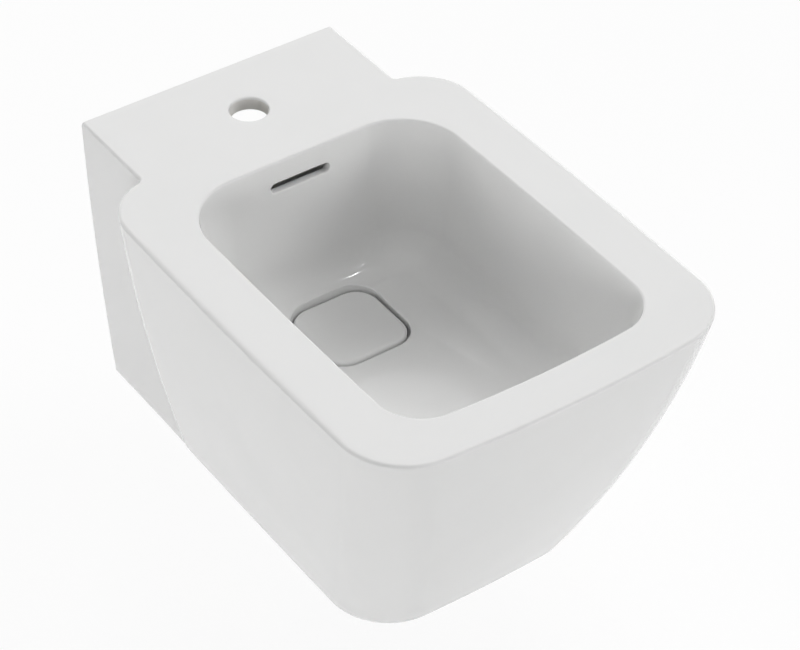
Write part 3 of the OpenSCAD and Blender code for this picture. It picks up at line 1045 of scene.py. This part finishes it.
        edge = rounding(self.slot_edge_r, 0, 90, self.slot_edge_steps)
        lip = [ring(down, out) for out, down in edge]
        outer = self.skin.ring(ring(self.slot_edge_r + self.slot_flat, 0))
        last = self.skin.stack([*lip, ring(0, None)], outer)[-1]
        self.skin.cap(last, (0, far_y, self.rim_z - self.slot_drop))
        return outer

    def _tap_hole(self) -> Loop:
        """Adds the pocket of the tap hole, through the deck into the hollow.

        Returns:
            Its outermost loop, on the deck.
        """

        def ring(grow: float, drop: float) -> Points:
            """One loop of the pocket."""
            plan = circle(0, -self.tap_hole_y, self.tap_hole_r + grow, self.tap_steps)
            return raised(plan, self.rim_z - drop)

        lip = [ring(*step) for step in rounding(self.tap_edge_r, 90, 0, self.tap_edge_steps)]
        shaded_bore = self.deck_wall + self.past
        outer = self.skin.ring(ring(self.tap_edge_r + self.tap_flat, 0))
        last = self.skin.stack([*lip, ring(0, self.glazed_drop), ring(0, shaded_bore)], outer)[-1]
        self.skin.cap(last, (0, -self.tap_hole_y, self.rim_z - shaded_bore))
        return outer

    @staticmethod
    def _bar(name: str, profile: Rows, low: float, high: float) -> Object:
        """Solid between two places along X, with a side profile in Y and Z."""
        ends = [np.array([(x, *corner) for corner in profile], float) for x in (low, high)]
        return loft(name, ends, RAW_CERAMIC)

    def _hollow(self) -> Object:
        """The space inside the casting, softened as slip leaves it.

        Returns:
            The object.
        """
        m, wall = self.coarse, self.basin_wall
        shell, top = [], self.body_height - self.deck_wall
        for h in map(float, np.linspace(-self.past, top, self.hollow_steps)):
            outline = self.body_outline(max(0.0, h), self.shell_wall, 2 * self.past, m)
            shell.append(raised(outline, self.base_z + h))
        space = loft("hollow", shell, RAW_CERAMIC)
        turns = map(float, np.linspace(90, 0, self.cup_steps))
        cup = [self.basin_ring(self.wall_drop, angle, wall, m) for angle in turns]
        for drop in (*(self.wall_drop * share for share in self.cup_shares), self.deck_wall / 2):
            cup.append(self.basin_ring(drop, 0, wall, m))
        pad = self.recess_outline(self.pad_margin, m)
        pad_ends = (self.recess_z - self.pad_margin, self.floor_z)
        boss = circle(0, -self.waste_y, self.boss_r, self.hole_steps)
        boss_ends = (self.recess_z - self.boss_height, self.recess_z)
        tools = [
            loft("cup", cup, RAW_CERAMIC),
            loft("pad", [raised(pad, z) for z in pad_ends], RAW_CERAMIC),
            loft("boss", [raised(boss, z) for z in boss_ends], RAW_CERAMIC),
        ]
        half = self.duct_half + self.duct_wall
        tools.append(self._bar("duct", self._duct_shell(), -half, half))
        lug_outer = (self.deck_width + self.shell_wall) / 2
        for side in (-1, 1):
            middle = side * self.fixing_spacing / 2
            rib = (middle - self.lug_rib / 2, middle + self.lug_rib / 2)
            plate = sorted((side * self.lug_inner, side * lug_outer))
            spans = ((plate, -self.lug_height / 2, self.lug_height / 2), (rib, 0.0, self.rim_z))
            for ends, low, high in spans:
                profile = oblong(2 * self.past, -self.lug_depth, low, high)
                tools.append(self._bar("lug", profile, *ends))
        cut(space, tools)
        melt = space.modifiers.new("melt", "REMESH")
        melt.mode = "VOXEL"
        melt.voxel_size = self.voxel * MM
        ease = space.modifiers.new("ease", "SMOOTH")
        ease.factor, ease.iterations = self.melt_ease, self.melt_rounds
        apply_modifiers(space)
        return space

    def _duct_shell(self) -> list[Sequence[float]]:
        """Side profile of the solid that carries the overflow duct.

        Returns:
            Y and Z of its corners.
        """
        lean_y = self.wall_drop * math.tan(math.radians(self.basin_lean))
        fillet_y = -self.basin_back - lean_y - self.floor_r
        middle_r = self.floor_r + self.basin_wall / 2
        back = self.duct_back_y + self.duct_wall
        low = self.recess_z - self.window_drop - self.duct_mouth / 2 - self.duct_wall
        end = self.waste_hole_r / 2 - self.waste_y
        top, bend_z = self.rim_z - self.deck_wall + self.overlap, self.rim_z - self.wall_drop
        return [
            (self.basin_wall / 2 - self.basin_back, top),
            (back, top),
            (back, low + self.duct_bevel),
            (back - self.duct_bevel, low),
            (end, low),
            (end, self.recess_z + self.past),
            *arc(fillet_y, bend_z, middle_r, -90, 0, self.duct_bend_steps).tolist(),
        ]

    def _bores(self) -> list[Object]:
        """The duct, the waste hole and the holes of the lugs.

        Returns:
            The objects to remove from the casting.
        """
        back, bevel = self.duct_back_y, self.duct_bevel
        front = back - self.duct_depth
        low = self.recess_z - self.window_drop - self.duct_mouth / 2
        roof, end = low + self.duct_mouth, self.waste_hole_r / 2 - self.waste_y
        top = self.rim_z - self.deck_wall - self.duct_roof
        narrow, throat = (
            self.rim_z - self.slot_drop - times * self.slot_height for times in self.throat_heights
        )
        channel = [(back, top), (back, low + bevel), (back - bevel, low), (end, low), (end, roof)]
        channel += [(front, roof), (front, narrow)]
        channel += [(front - self.duct_throat, throat), (front - self.duct_throat, top)]
        hole = circle(0, -self.waste_y, self.waste_hole_r, self.hole_steps)
        ends = (self.recess_z - self.boss_height - self.past, self.recess_z + self.past)
        tools = [
            self._bar("channel", channel, -self.duct_half, self.duct_half),
            loft("waste_hole", [raised(hole, z) for z in ends], RAW_CERAMIC),
        ]
        for side in (-1, 1):
            bore = circle(side * self.fixing_spacing / 2, 0, self.lug_hole_r, self.lug_hole_steps)
            ends = (self.past, -self.lug_depth - self.past)
            rings = [raised(bore, y)[:, [0, 2, 1]] for y in ends]
            tools.append(loft("lug_hole", rings, RAW_CERAMIC))
        return tools

    def build(self) -> list[Object]:
        """Makes the casting, glazed but for the ground faces and the tap hole's bore; the bore's
        darker raw finish is partly painted shade.

        Returns:
            The object.
        """
        rim, basin = self._outside(), self._basin()
        self.skin.sheet(rim, [basin, self._tap_hole()], (0, 1))
        made = self.skin.build("ceramic_casting", GLAZE)
        cut(made, [self._hollow(), *self._bores()])
        shade(made, SHARP)
        mesh = made.data
        raw_and_shade = mesh.materials.find(RAW_CERAMIC.name)
        facing, near = 0.99, 0.1
        for face in mesh.polygons:
            at = face.center / MM
            on_wall = face.normal.y > facing and at.y > -near
            on_foot = face.normal.z < -facing and at.z < self.base_z + near
            in_hole = math.hypot(at.x, at.y + self.tap_hole_y) < self.tap_hole_r + near
            # Below the glazed band the tap hole's bore takes the darker raw ceramic: an unglazed
            # bore, darkened also as painted shade inside the hole.
            shaded_bore = self.rim_z - self.deck_wall < at.z < self.rim_z - self.glazed_drop
            if on_wall or on_foot or (in_hole and shaded_bore):
                face.material_index = raw_and_shade
        return [stand_in(made, Body.CASTING, "ceramic_body", GLAZE)]


# ---- the waste


@dataclass
class OnWaste:
    """What the groups of pieces round the axis of the waste share."""

    waste_y: float

    def hoop(self, r: Any, z: float, steps: int) -> Points:
        """Ring round the axis. The radius is one number or one for each step."""
        return hoop(r, z, -self.waste_y, steps)

    def turned(
        self, name: str, corners: Rows, radius: float, finish: Finish, steps: int = 4
    ) -> Object:
        """A ring turned from a profile, with its corners rounded.

        Args:
            name: Its name.
            corners: Radius and height of each corner.
            radius: Radius of the rounding.
            finish: Its finish.
            steps: Steps of each rounding.

        Returns:
            The object.
        """
        skin = Skin()
        skin.wrap([self.hoop(r, z, TURNED_STEPS) for r, z in softened(corners, radius, steps)])
        return skin.build(name, finish)


@dataclass
class HexNut(OnWaste):
    """A hexagonal nut with turned chamfers."""

    name: str
    flats: float
    bore_r: float
    low: float
    high: float
    finish: Finish
    mouth: float = 0.8
    face_share: float = 0.985
    flare: float = 2.4
    chamfer_share: float = 0.12
    least_chamfer: float = 0.6
    chamfer_steps: int = 6
    steps: int = TURNED_STEPS
    sharp: float = 20.0

    def build(self) -> Object:
        """Makes the nut.

        Returns:
            The object.
        """
        turn = np.arange(self.steps) * 2 * math.pi / self.steps
        apart = (np.degrees(turn) + 30) % 60 - 30
        hexagon = self.flats / 2 / np.cos(np.radians(apart))
        cone_r = self.flats / 2 * self.face_share
        chamfer = self.chamfer_share * (self.high - self.low) + self.least_chamfer
        end = [(self.bore_r, self.mouth), (self.bore_r + self.mouth, 0.0), (cone_r, 0.0)]
        for k in np.linspace(0, 1, self.chamfer_steps)[1:]:
            end.append((np.minimum(hexagon, cone_r + k * chamfer * self.flare), k * chamfer))
        rings = [self.hoop(r, self.low + rise, self.steps) for r, rise in end]
        rings += [self.hoop(r, self.high - rise, self.steps) for r, rise in reversed(end)]
        skin = Skin()
        skin.wrap(rings)
        return skin.build(self.name, self.finish, self.sharp)


@dataclass
class PlugAssembly(OnWaste):
    """The square cover and the pieces that move with it."""

    floor_z: float
    cover_half: float = 42.1
    cover_corner_r: float = 22.5
    cover_thickness: float = 7.5
    cover_edge_r: float = 4.2
    cover_crown: float = 0.25
    cover_foot: Rows = ((1.5, 0.0), (0.6, 0.0), (0.15, 0.2), (0.0, 0.6))
    crown_insets: tuple[float, ...] = (7.0, 13.0, 20.0, 28.0, 36.0)
    least_corner_r: float = 0.5
    corner_steps: int = 14
    side_steps: int = 6
    edge_steps: int = 7
    carrier_r: float = 27.0
    carrier_plug_r: float = 15.5
    carrier_height: float = 12.0
    carrier_plate: float = 2.5
    carrier_edge_r: float = 0.35
    carrier_edge_steps: int = 3
    pin_hole_r: float = 0.6
    socket_r: float = 3.05
    socket_depth: float = 9.0
    seal_r: float = 18.2
    seal_seat_r: float = 13.5
    seal_height: float = 3.0
    seal_rise: float = 1.5
    seal_edge_r: float = 0.5
    lip: float = 1.6
    lip_heights: tuple[float, float] = (1.1, 1.8)
    play: float = 0.05

    def cover(self) -> Object:
        """The ceramic plate.

        Returns:
            The object.
        """
        quarters = ((1, 1, 0), (-1, 1, 90), (-1, -1, 180), (1, -1, 270))

        def ring(inset: float, z: float) -> Points:
            """One ring of the plate."""
            r = max(self.least_corner_r, self.cover_corner_r - inset)
            side, steps = self.cover_half - inset - r, self.corner_steps
            arcs = [arc(x * side, y * side, r, a, a + 90, steps) for x, y, a in quarters]
            parts = []
            for here, after in zip(arcs, arcs[1:] + arcs[:1]):
                parts += [here, between(here[-1], after[0], self.side_steps)]
            return raised(np.vstack(parts) + [0, -self.waste_y], z)

        low, top = self.floor_z - self.cover_thickness, self.floor_z
        rings = [ring(inset, low + rise) for inset, rise in self.cover_foot]
        edge = rounding(self.cover_edge_r, 0, 90, self.edge_steps)
        rings += [ring(out, top - self.cover_crown - down) for out, down in edge]
        for inset in self.crown_insets:
            rings.append(ring(inset, top - self.cover_crown * (1 - inset / self.cover_half) ** 2))
        skin = Skin()
        loops = skin.stack(rings)
        skin.cap(loops[0], (0, -self.waste_y, low))
        skin.cap(loops[-1], (0, -self.waste_y, top))
        return skin.build("cover_plate", GLAZE)

    def carrier(self) -> Object:
        """The moulded disc under the plate.

        Returns:
            The object.
        """
        top = self.floor_z - self.cover_thickness
        low = top - self.carrier_height
        groove = low + self.seal_rise
        ceiling, socket = groove + self.seal_height + self.play, low + self.socket_depth
        profile = [(self.socket_r, low), (self.carrier_plug_r, low), (self.carrier_plug_r, groove)]
        profile += [(self.seal_seat_r, groove), (self.seal_seat_r, ceiling)]
        profile += [(self.carrier_plug_r, ceiling), (self.carrier_plug_r, top - self.carrier_plate)]
        profile += [(self.carrier_r, top - self.carrier_plate), (self.carrier_r, top)]
        profile += [(self.pin_hole_r, top), (self.pin_hole_r, socket), (self.socket_r, socket)]
        edge = (self.carrier_edge_r, PLASTIC, self.carrier_edge_steps)
        return self.turned("plug_carrier", profile, *edge)

    def seal(self) -> Object:
        """The rubber ring with its lip.

        Returns:
            The object.
        """
        low = self.floor_z - self.cover_thickness - self.carrier_height + self.seal_rise
        high = low + self.seal_height
        inner, neck = self.seal_seat_r + self.play, self.seal_r - self.lip
        profile = [(inner, low), (neck, low), *((self.seal_r, low + h) for h in self.lip_heights)]
        profile += [(neck, high), (inner, high)]
        return self.turned("seal_ring", profile, self.seal_edge_r, RUBBER)

    def build(self) -> list[Object]:
        """Makes the pieces and lets them ride on the plug.

        Returns:
            The objects.
        """
        pieces = (
            (self.cover(), "waste_cover", GLAZE),
            (self.carrier(), "cover_carrier", PLASTIC),
            (self.seal(), "plug_seal", RUBBER),
        )
        return [stand_in(piece, Body.PLUG, node, finish) for piece, node, finish in pieces]


@dataclass
class WasteFitting(OnWaste):
    """The threaded waste, its gaskets, washer and nut."""

    recess_z: float
    boss_z: float
    tube_r: float = 20.95
    bore_r: float = 18.5
    flange_r: float = 32.0
    flange_thickness: float = 2.5
    flange_edge_r: float = 0.9
    flange_mouth: Rows = ((0.0, 3.0), (0.3, 1.4), (1.2, 0.4), (2.6, 0.0))
    flange_land: float = 3.0
    gasket_thickness: float = 2.0
    tube_length: float = 92.0
    thread_pitch: float = 2.31
    thread_depth: float = 1.1
    thread_start: float = 6.0
    thread_end: float = 1.2
    thread_flank: float = 2.4
    thread_root: float = 0.1
    thread_fades: tuple[float, float] = (3.0, 2.0)
    least_fade: float = 0.05
    thread_steps: int = 8
    neck_relief: float = 0.4
    neck_end: float = 0.6
    tail_foot: Rows = ((0.7, 0.3), (1.1, 0.0))
    tail_mouth: Rows = ((0.3, 0.0), (0.0, 0.3))
    sharp: float = 40.0
    window_width: float = 13.0
    window_height: float = 12.0
    window_drop: float = 14.0
    window_past: float = 3.0
    hub_r: float = 11.0
    hub_bore_r: float = 8.05
    hub_height: float = 10.0
    hub_top: float = -90.5
    hub_edge_r: float = 0.5
    web: float = 2.5
    past: float = 2.0
    tail_length: float = 32.0
    relief_r: float = 20.0
    relief_length: float = 2.0
    relief_slope: float = 3.0
    hole_r: float = 23.0
    gasket_r: float = 31.0
    gasket_foot_r: float = 34.0
    gasket_edge_r: float = 0.6
    cone_edge_r: float = 1.0
    washer_edge_r: float = 0.4
    lower_gasket_height: float = 8.0
    washer_thickness: float = 2.0
    play: float = 0.05
    nut_height: float = 9.0
    nut_flats: float = 55.0
    steps: int = 72

    def _thread(self, first: float, last: float, groove: float) -> list[Points]:
        """Rings of the thread, which fades at its ends and is turned down at the relief.

        Args:
            first: Its upper end.
            last: Its lower end.
            groove: Middle of the relief.

        Returns:
            The rings.
        """
        turn = np.arange(self.steps) * 2 * math.pi / self.steps
        fade_in, fade_out = self.thread_fades
        rings = []
        count = int((first - last) / self.thread_pitch * self.thread_steps)
        for z in np.linspace(first, last, count):
            phase = (z / self.thread_pitch + turn / (2 * math.pi)) % 1.0
            crest = np.clip(self.thread_flank * np.abs(phase - 0.5) - self.thread_root, 0, 1)
            fade = min(1.0, (first - z) / fade_in, (z - last) / fade_out + self.least_fade)
            r = self.tube_r - self.thread_depth * (1 - crest) * max(0.0, fade)
            beyond = max(0.0, abs(z - groove) - self.relief_length / 2)
            r = np.minimum(r, self.relief_r + self.relief_slope * beyond)
            rings.append(self.hoop(r, z, self.steps))
        return rings

    def tube(self) -> Object:
        """The flanged tube with its thread, windows and spider.

        Returns:
            The object.
        """
        low_face = self.recess_z + self.gasket_thickness
        foot, top = low_face - self.tube_length, low_face + self.flange_thickness
        first, last = low_face - self.thread_start, foot + self.thread_end
        flange = [(self.flange_r, low_face), (self.flange_r, top)]
        flange.append((self.bore_r + self.flange_land, top))
        steps = 4
        rim = softened(flange, self.flange_edge_r, steps)[: 2 * (steps + 1)]
        neck_r = self.tube_r - self.neck_relief
        upper = [(self.bore_r + out, top - down) for out, down in self.flange_mouth]
        upper += [*reversed(rim), (neck_r, low_face), (neck_r, first + self.neck_end)]
        lower = [(self.tube_r - inset, foot + rise) for inset, rise in self.tail_foot]
        lower += [(self.bore_r + out, foot + rise) for out, rise in self.tail_mouth]
        skin = Skin()
        rings = [self.hoop(r, z, self.steps) for r, z in upper]
        rings += self._thread(first, last, foot + self.tail_length + self.relief_length / 2)
        skin.wrap([*rings, *(self.hoop(r, z, self.steps) for r, z in lower)])
        made = skin.build("waste_tube", CHROME)
        across, middle = 2 * (self.tube_r + self.window_past), self.recess_z - self.window_drop
        window = (across, self.window_width, self.window_height, middle)
        cut(made, [self._box(*window, turned) for turned in (0, 90)])
        hub_low = self.hub_top - self.hub_height
        profile = oblong(self.hub_bore_r, self.hub_r, hub_low, self.hub_top)
        hub = self.turned("hub", profile, self.hub_edge_r, CHROME)
        middle = self.hub_top - self.hub_height / 2
        web = (self.bore_r + self.tube_r, self.web, self.hub_height, middle)
        webs = [self._box(*web, turned) for turned in (45, 135)]
        bore = circle(0, -self.waste_y, self.hub_bore_r, self.steps)
        for arm in webs:
            ends = (hub_low - self.past, self.hub_top + self.past)
            cut(arm, [loft("tool", [raised(bore, z) for z in ends], CHROME)])
        cut(made, [*webs, hub], Cut.JOIN)
        shade(made, self.sharp)
        return made

    def _box(self, length: float, width: float, height: float, z: float, angle: float) -> Object:
        """A box across the axis of the waste.

        Args:
            length: Its length.
            width: Its width.
            height: Its height.
            z: Height of its middle.
            angle: How far it is turned about the axis.

        Returns:
            The object.
        """
        c, s = math.cos(math.radians(angle)), math.sin(math.radians(angle))
        flat = np.array([[1, 1], [-1, 1], [-1, -1], [1, -1]]) * [length / 2, width / 2]
        plan = flat @ np.array([[c, s], [-s, c]]) + [0, -self.waste_y]
        return loft("tool", [raised(plan, z - height / 2), raised(plan, z + height / 2)], CHROME)

    def build(self) -> list[Object]:
        """Makes the pieces and lets them ride on the casting.

        Returns:
            The objects.
        """
        gasket_top = self.recess_z + self.gasket_thickness
        foot, bore = self.boss_z - self.lower_gasket_height, self.tube_r + self.play
        washer = foot - self.washer_thickness
        cone = [(bore, foot), (self.gasket_foot_r, foot)]
        cone += [(self.gasket_r, self.boss_z), (bore, self.boss_z)]
        flat = oblong(self.hole_r, self.gasket_r, self.recess_z, gasket_top)
        slip = oblong(bore, self.gasket_foot_r, washer, foot)
        ends = (washer - self.nut_height, washer)
        nut = HexNut(self.waste_y, "clamp_nut", self.nut_flats, bore, *ends, BRASS)
        rings = (
            ("flange_ring", flat, self.gasket_edge_r, RUBBER, "flange_gasket"),
            ("cone_gasket", cone, self.cone_edge_r, RUBBER, "lower_gasket"),
            ("flat_washer", slip, self.washer_edge_r, PLASTIC, "slip_washer"),
        )
        made = [stand_in(self.tube(), Body.CASTING, "waste_body", CHROME)]
        for name, profile, r, finish, node in rings:
            ring = self.turned(name, profile, r, finish)
            made.append(stand_in(ring, Body.CASTING, node, finish))
        return [*made, stand_in(nut.build(), Body.CASTING, "backnut", BRASS)]


@dataclass
class Cartridge(OnWaste):
    """The spring and the stem's nut of the push mechanism, and the nodes that keep their shape."""

    foot_z: float = -123.5
    head_z: float = -106.1
    coil_r: float = 3.6
    wire_r: float = 0.45
    play: float = 0.1
    turns: float = 6.0
    steps: int = 24
    sides: int = 10
    sharp: float = 60.0
    nut_flats: float = 10.0
    stem_r: float = 3.05
    nut_low: float = -79.0
    nut_high: float = -75.0

    def spring(self) -> Object:
        """The coil spring.

        Returns:
            The object.
        """
        count = int(self.turns * self.steps)
        gap = self.wire_r + self.play
        around = 2 * math.pi * np.arange(self.sides) / self.sides
        rings: list[Points] = []
        for i in range(count + 1):
            a = 2 * math.pi * i / self.steps
            z = blend(self.foot_z + gap, self.head_z - gap, i / count)
            out = np.array([math.cos(a), math.sin(a), 0.0])
            section = np.cos(around)[:, None] * out + np.sin(around)[:, None] * [0, 0, 1]
            rings.append(out * self.coil_r + [0, -self.waste_y, z] + self.wire_r * section)
        skin = Skin()
        loops = skin.stack(rings)
        for end in (0, -1):
            skin.cap(loops[end], rings[end].mean(axis=0))
        made = skin.build("push_spring", STEEL, self.sharp)
        return stand_in(made, Body.CASTING, "cartridge_spring", STEEL)

    def build(self) -> list[Object]:
        """Makes the spring and the nut, and gives the nodes that stay their finishes.

        Returns:
            The spring, the nodes and the nut, which rides on the plug.
        """
        kept = {"cartridge_sleeve": PLASTIC, "cartridge_cap": PLASTIC}
        kept |= {"latch_cam": PLASTIC, "plug_stem": CHROME}
        pieces = [self.spring()]
        for node, finish in kept.items():
            pieces.append(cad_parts[node])
            for holder in pieces[-1].material_slots:
                holder.material = finish.material()
        ends = (self.nut_low, self.nut_high)
        nut = HexNut(self.waste_y, "stem_nut", self.nut_flats, self.stem_r, *ends, CHROME)
        return [*pieces, stand_in(nut.build(), Body.PLUG, "height_nut", CHROME)]


@dataclass
class FixingBushes:
    """The collared bushes in the holes of the lugs."""

    spacing: float = 180.0
    depth: float = 28.0
    hole_r: float = 6.5
    sleeve_r: float = 10.9
    collar_r: float = 16.0
    collar: float = 3.0
    edge_r: float = 0.7
    steps: int = 64

    def build(self) -> list[Object]:
        """Makes both bushes as one piece.

        Returns:
            The object.
        """
        end = self.depth + self.collar
        corners = [(self.hole_r, 0), (self.sleeve_r, 0), (self.sleeve_r, self.depth)]
        corners += [(self.collar_r, self.depth), (self.collar_r, end), (self.hole_r, end)]
        pair = []
        for side in (-1, 1):
            skin = Skin()
            rings = [hoop(r, along, 0.0, self.steps) for r, along in softened(corners, self.edge_r)]
            place = [side * self.spacing / 2, 0, 0]
            skin.wrap([ring[:, [0, 2, 1]] * [1, -1, 1] + place for ring in rings])
            pair.append(skin.build("lug_bushes", PLASTIC))
        cut(pair[0], pair[1:], Cut.JOIN)
        shade(pair[0], SHARP)
        return [stand_in(pair[0], Body.CASTING, "fixing_bushes", PLASTIC)]


# ---- the studio


def towards(azimuth: float, elevation: float) -> tuple[float, float, float]:
    """Direction with an azimuth from +X and an elevation."""
    a, e = math.radians(azimuth), math.radians(elevation)
    return (math.cos(e) * math.cos(a), math.cos(e) * math.sin(a), math.sin(e))


@dataclass(frozen=True)
class SoftPanel:
    """A soft patch of light in the world. It reaches out to where the cosine falls to its edge."""

    azimuth: float
    elevation: float
    strength: float
    edge: float

    def glow(self, graph: Graph, sight: Sock) -> Sock:
        """Strength of the patch in a direction.

        Args:
            graph: Graph of the world.
            sight: The direction.

        Returns:
            The strength.
        """
        inputs = {0: sight, 1: towards(self.azimuth, self.elevation)}
        near = graph.node("ShaderNodeVectorMath", {"operation": "DOT_PRODUCT"}, inputs, "Value")
        return near.above(self.edge, 1 - self.edge) * self.strength


@dataclass
class Studio:
    """Floor, lights, world and camera. Places are in metres here."""

    panels: tuple[SoftPanel, ...] = (
        SoftPanel(122.7, 12.9, 2.57, 0.91),
        SoftPanel(67.7, 35.2, 5.18, 0.89),
        SoftPanel(223.4, 2.5, 8.07, 0.93),
        SoftPanel(273.6, 86.3, 1.92, 0.91),
        SoftPanel(337.5, 30.8, 7.02, 0.93),
    )
    floor_z: float = -0.315
    floor_half: float = 30.0
    floor_tint: Tint = Tint(0.88, 0.88, 0.88)
    camera_at: tuple[float, float, float] = (-1.03035, -1.77511, 1.52738)
    azimuth: float = -34.853
    elevation: float = 40.297
    lens: float = 126.75
    sensor: float = 36.0
    background_share: float = 0.92
    gloss_share: float = 0.9
    glints: Rows = ((0.377, -0.371, 0.645), (0.404, -0.563, 0.559))
    glint_aim: tuple[float, float, float] = (0.0, -0.25, 0.0)
    glint_size: float = 0.009
    glint_power: float = 0.05

    def _white_for_sight(self, graph: Graph) -> Sock:
        """Share of the white background that a ray sees: all for camera and glass, most for gloss.

        Args:
            graph: The graph that asks.

        Returns:
            The share.
        """
        kinds = ("Is Camera Ray", "Is Glossy Ray", "Is Transmission Ray")
        camera, glossy, glass = (graph.node("ShaderNodeLightPath", {}, {}, kind) for kind in kinds)
        share = camera + glass + glossy * self.gloss_share
        return graph.node("ShaderNodeClamp", {}, {"Value": share})

    def floor(self) -> None:
        """The pale floor, which keeps the shadow of the object."""
        mesh = bpy.data.meshes.new("floor")
        h, z = self.floor_half, self.floor_z
        mesh.from_pydata([(-h, -h, z), (h, -h, z), (h, h, z), (-h, h, z)], [], [(0, 1, 2, 3)])
        made = bpy.data.objects.new("floor", mesh)
        bpy.context.scene.collection.objects.link(made)
        material = bpy.data.materials.new("pale_floor")
        material.use_nodes = True
        graph = Graph(material.node_tree)
        matt = graph.node("ShaderNodeBsdfDiffuse", {}, {"Color": self.floor_tint.rgba()})
        white = graph.node("ShaderNodeEmission", {}, {"Color": WHITE, "Strength": 1.0})
        lit = 1 - self._white_for_sight(graph) * self.background_share
        mixed = graph.node("ShaderNodeMixShader", {}, {0: lit, 1: white, 2: matt})
        graph.node("ShaderNodeOutputMaterial", {}, {"Surface": mixed})
        mesh.materials.append(material)

    def world(self) -> None:
        """Soft light from the panels, and a white background."""
        world = bpy.data.worlds.new("studio")
        bpy.context.scene.world = world
        world.use_nodes = True
        graph = Graph(world.node_tree)
        sight = graph.node("ShaderNodeTexCoord", {}, {}, "Generated")
        glow = sum(panel.glow(graph, sight) for panel in self.panels)
        soft = graph.node("ShaderNodeBackground", {}, {"Color": WHITE, "Strength": glow})
        white = graph.node("ShaderNodeBackground", {}, {"Color": WHITE, "Strength": 1.0})
        inputs = {0: self._white_for_sight(graph), 1: soft, 2: white}
        mixed = graph.node("ShaderNodeMixShader", {}, inputs)
        graph.node("ShaderNodeOutputWorld", {}, {"Surface": mixed})

    @staticmethod
    def _hang(name: str, data: Any, at: Sequence[float], aim: Vector) -> Object:
        """Puts a lamp or a camera in the scene.

        Args:
            name: Its name.
            data: Its data.
            at: Its place.
            aim: The direction that it looks in.

        Returns:
            The object.
        """
        made = bpy.data.objects.new(name, data)
        made.location = at
        made.rotation_mode = "QUATERNION"
        made.rotation_quaternion = aim.to_track_quat("-Z", "Y")
        bpy.context.scene.collection.objects.link(made)
        return made

    def build(self) -> None:
        """Sets up the stage, the small lamps of the glints and the camera."""
        self.floor()
        self.world()
        for k, place in enumerate(self.glints):
            lamp = bpy.data.lights.new(f"glint_{k}", "AREA")
            lamp.shape = "SQUARE"
            lamp.size = self.glint_size
            lamp.energy = self.glint_power
            self._hang(lamp.name, lamp, place, Vector(self.glint_aim) - Vector(place))
        lens = bpy.data.cameras.new("camera")
        lens.sensor_width = self.sensor
        lens.sensor_fit = "HORIZONTAL"
        lens.lens = self.lens
        aim = -Vector(towards(self.azimuth - 90.0, self.elevation))
        bpy.context.scene.camera = self._hang("camera", lens, self.camera_at, aim)
        bpy.context.scene.view_settings.view_transform = "Standard"


def main() -> None:
    """Builds the bidet and its studio."""
    logging.basicConfig(level=logging.INFO, format="%(message)s")
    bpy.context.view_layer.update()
    casting = Casting()
    waste_y, recess_z = casting.waste_y, casting.recess_z
    groups = (
        casting,
        PlugAssembly(waste_y, casting.floor_z),
        WasteFitting(waste_y, recess_z, recess_z - casting.boss_height),
        Cartridge(waste_y),
        FixingBushes(),
    )
    for group in groups:
        for piece in group.build():
            LOG.info("%s: %s", type(group).__name__, piece.name)
    Studio().build()


if __name__ == "__main__":
    main()
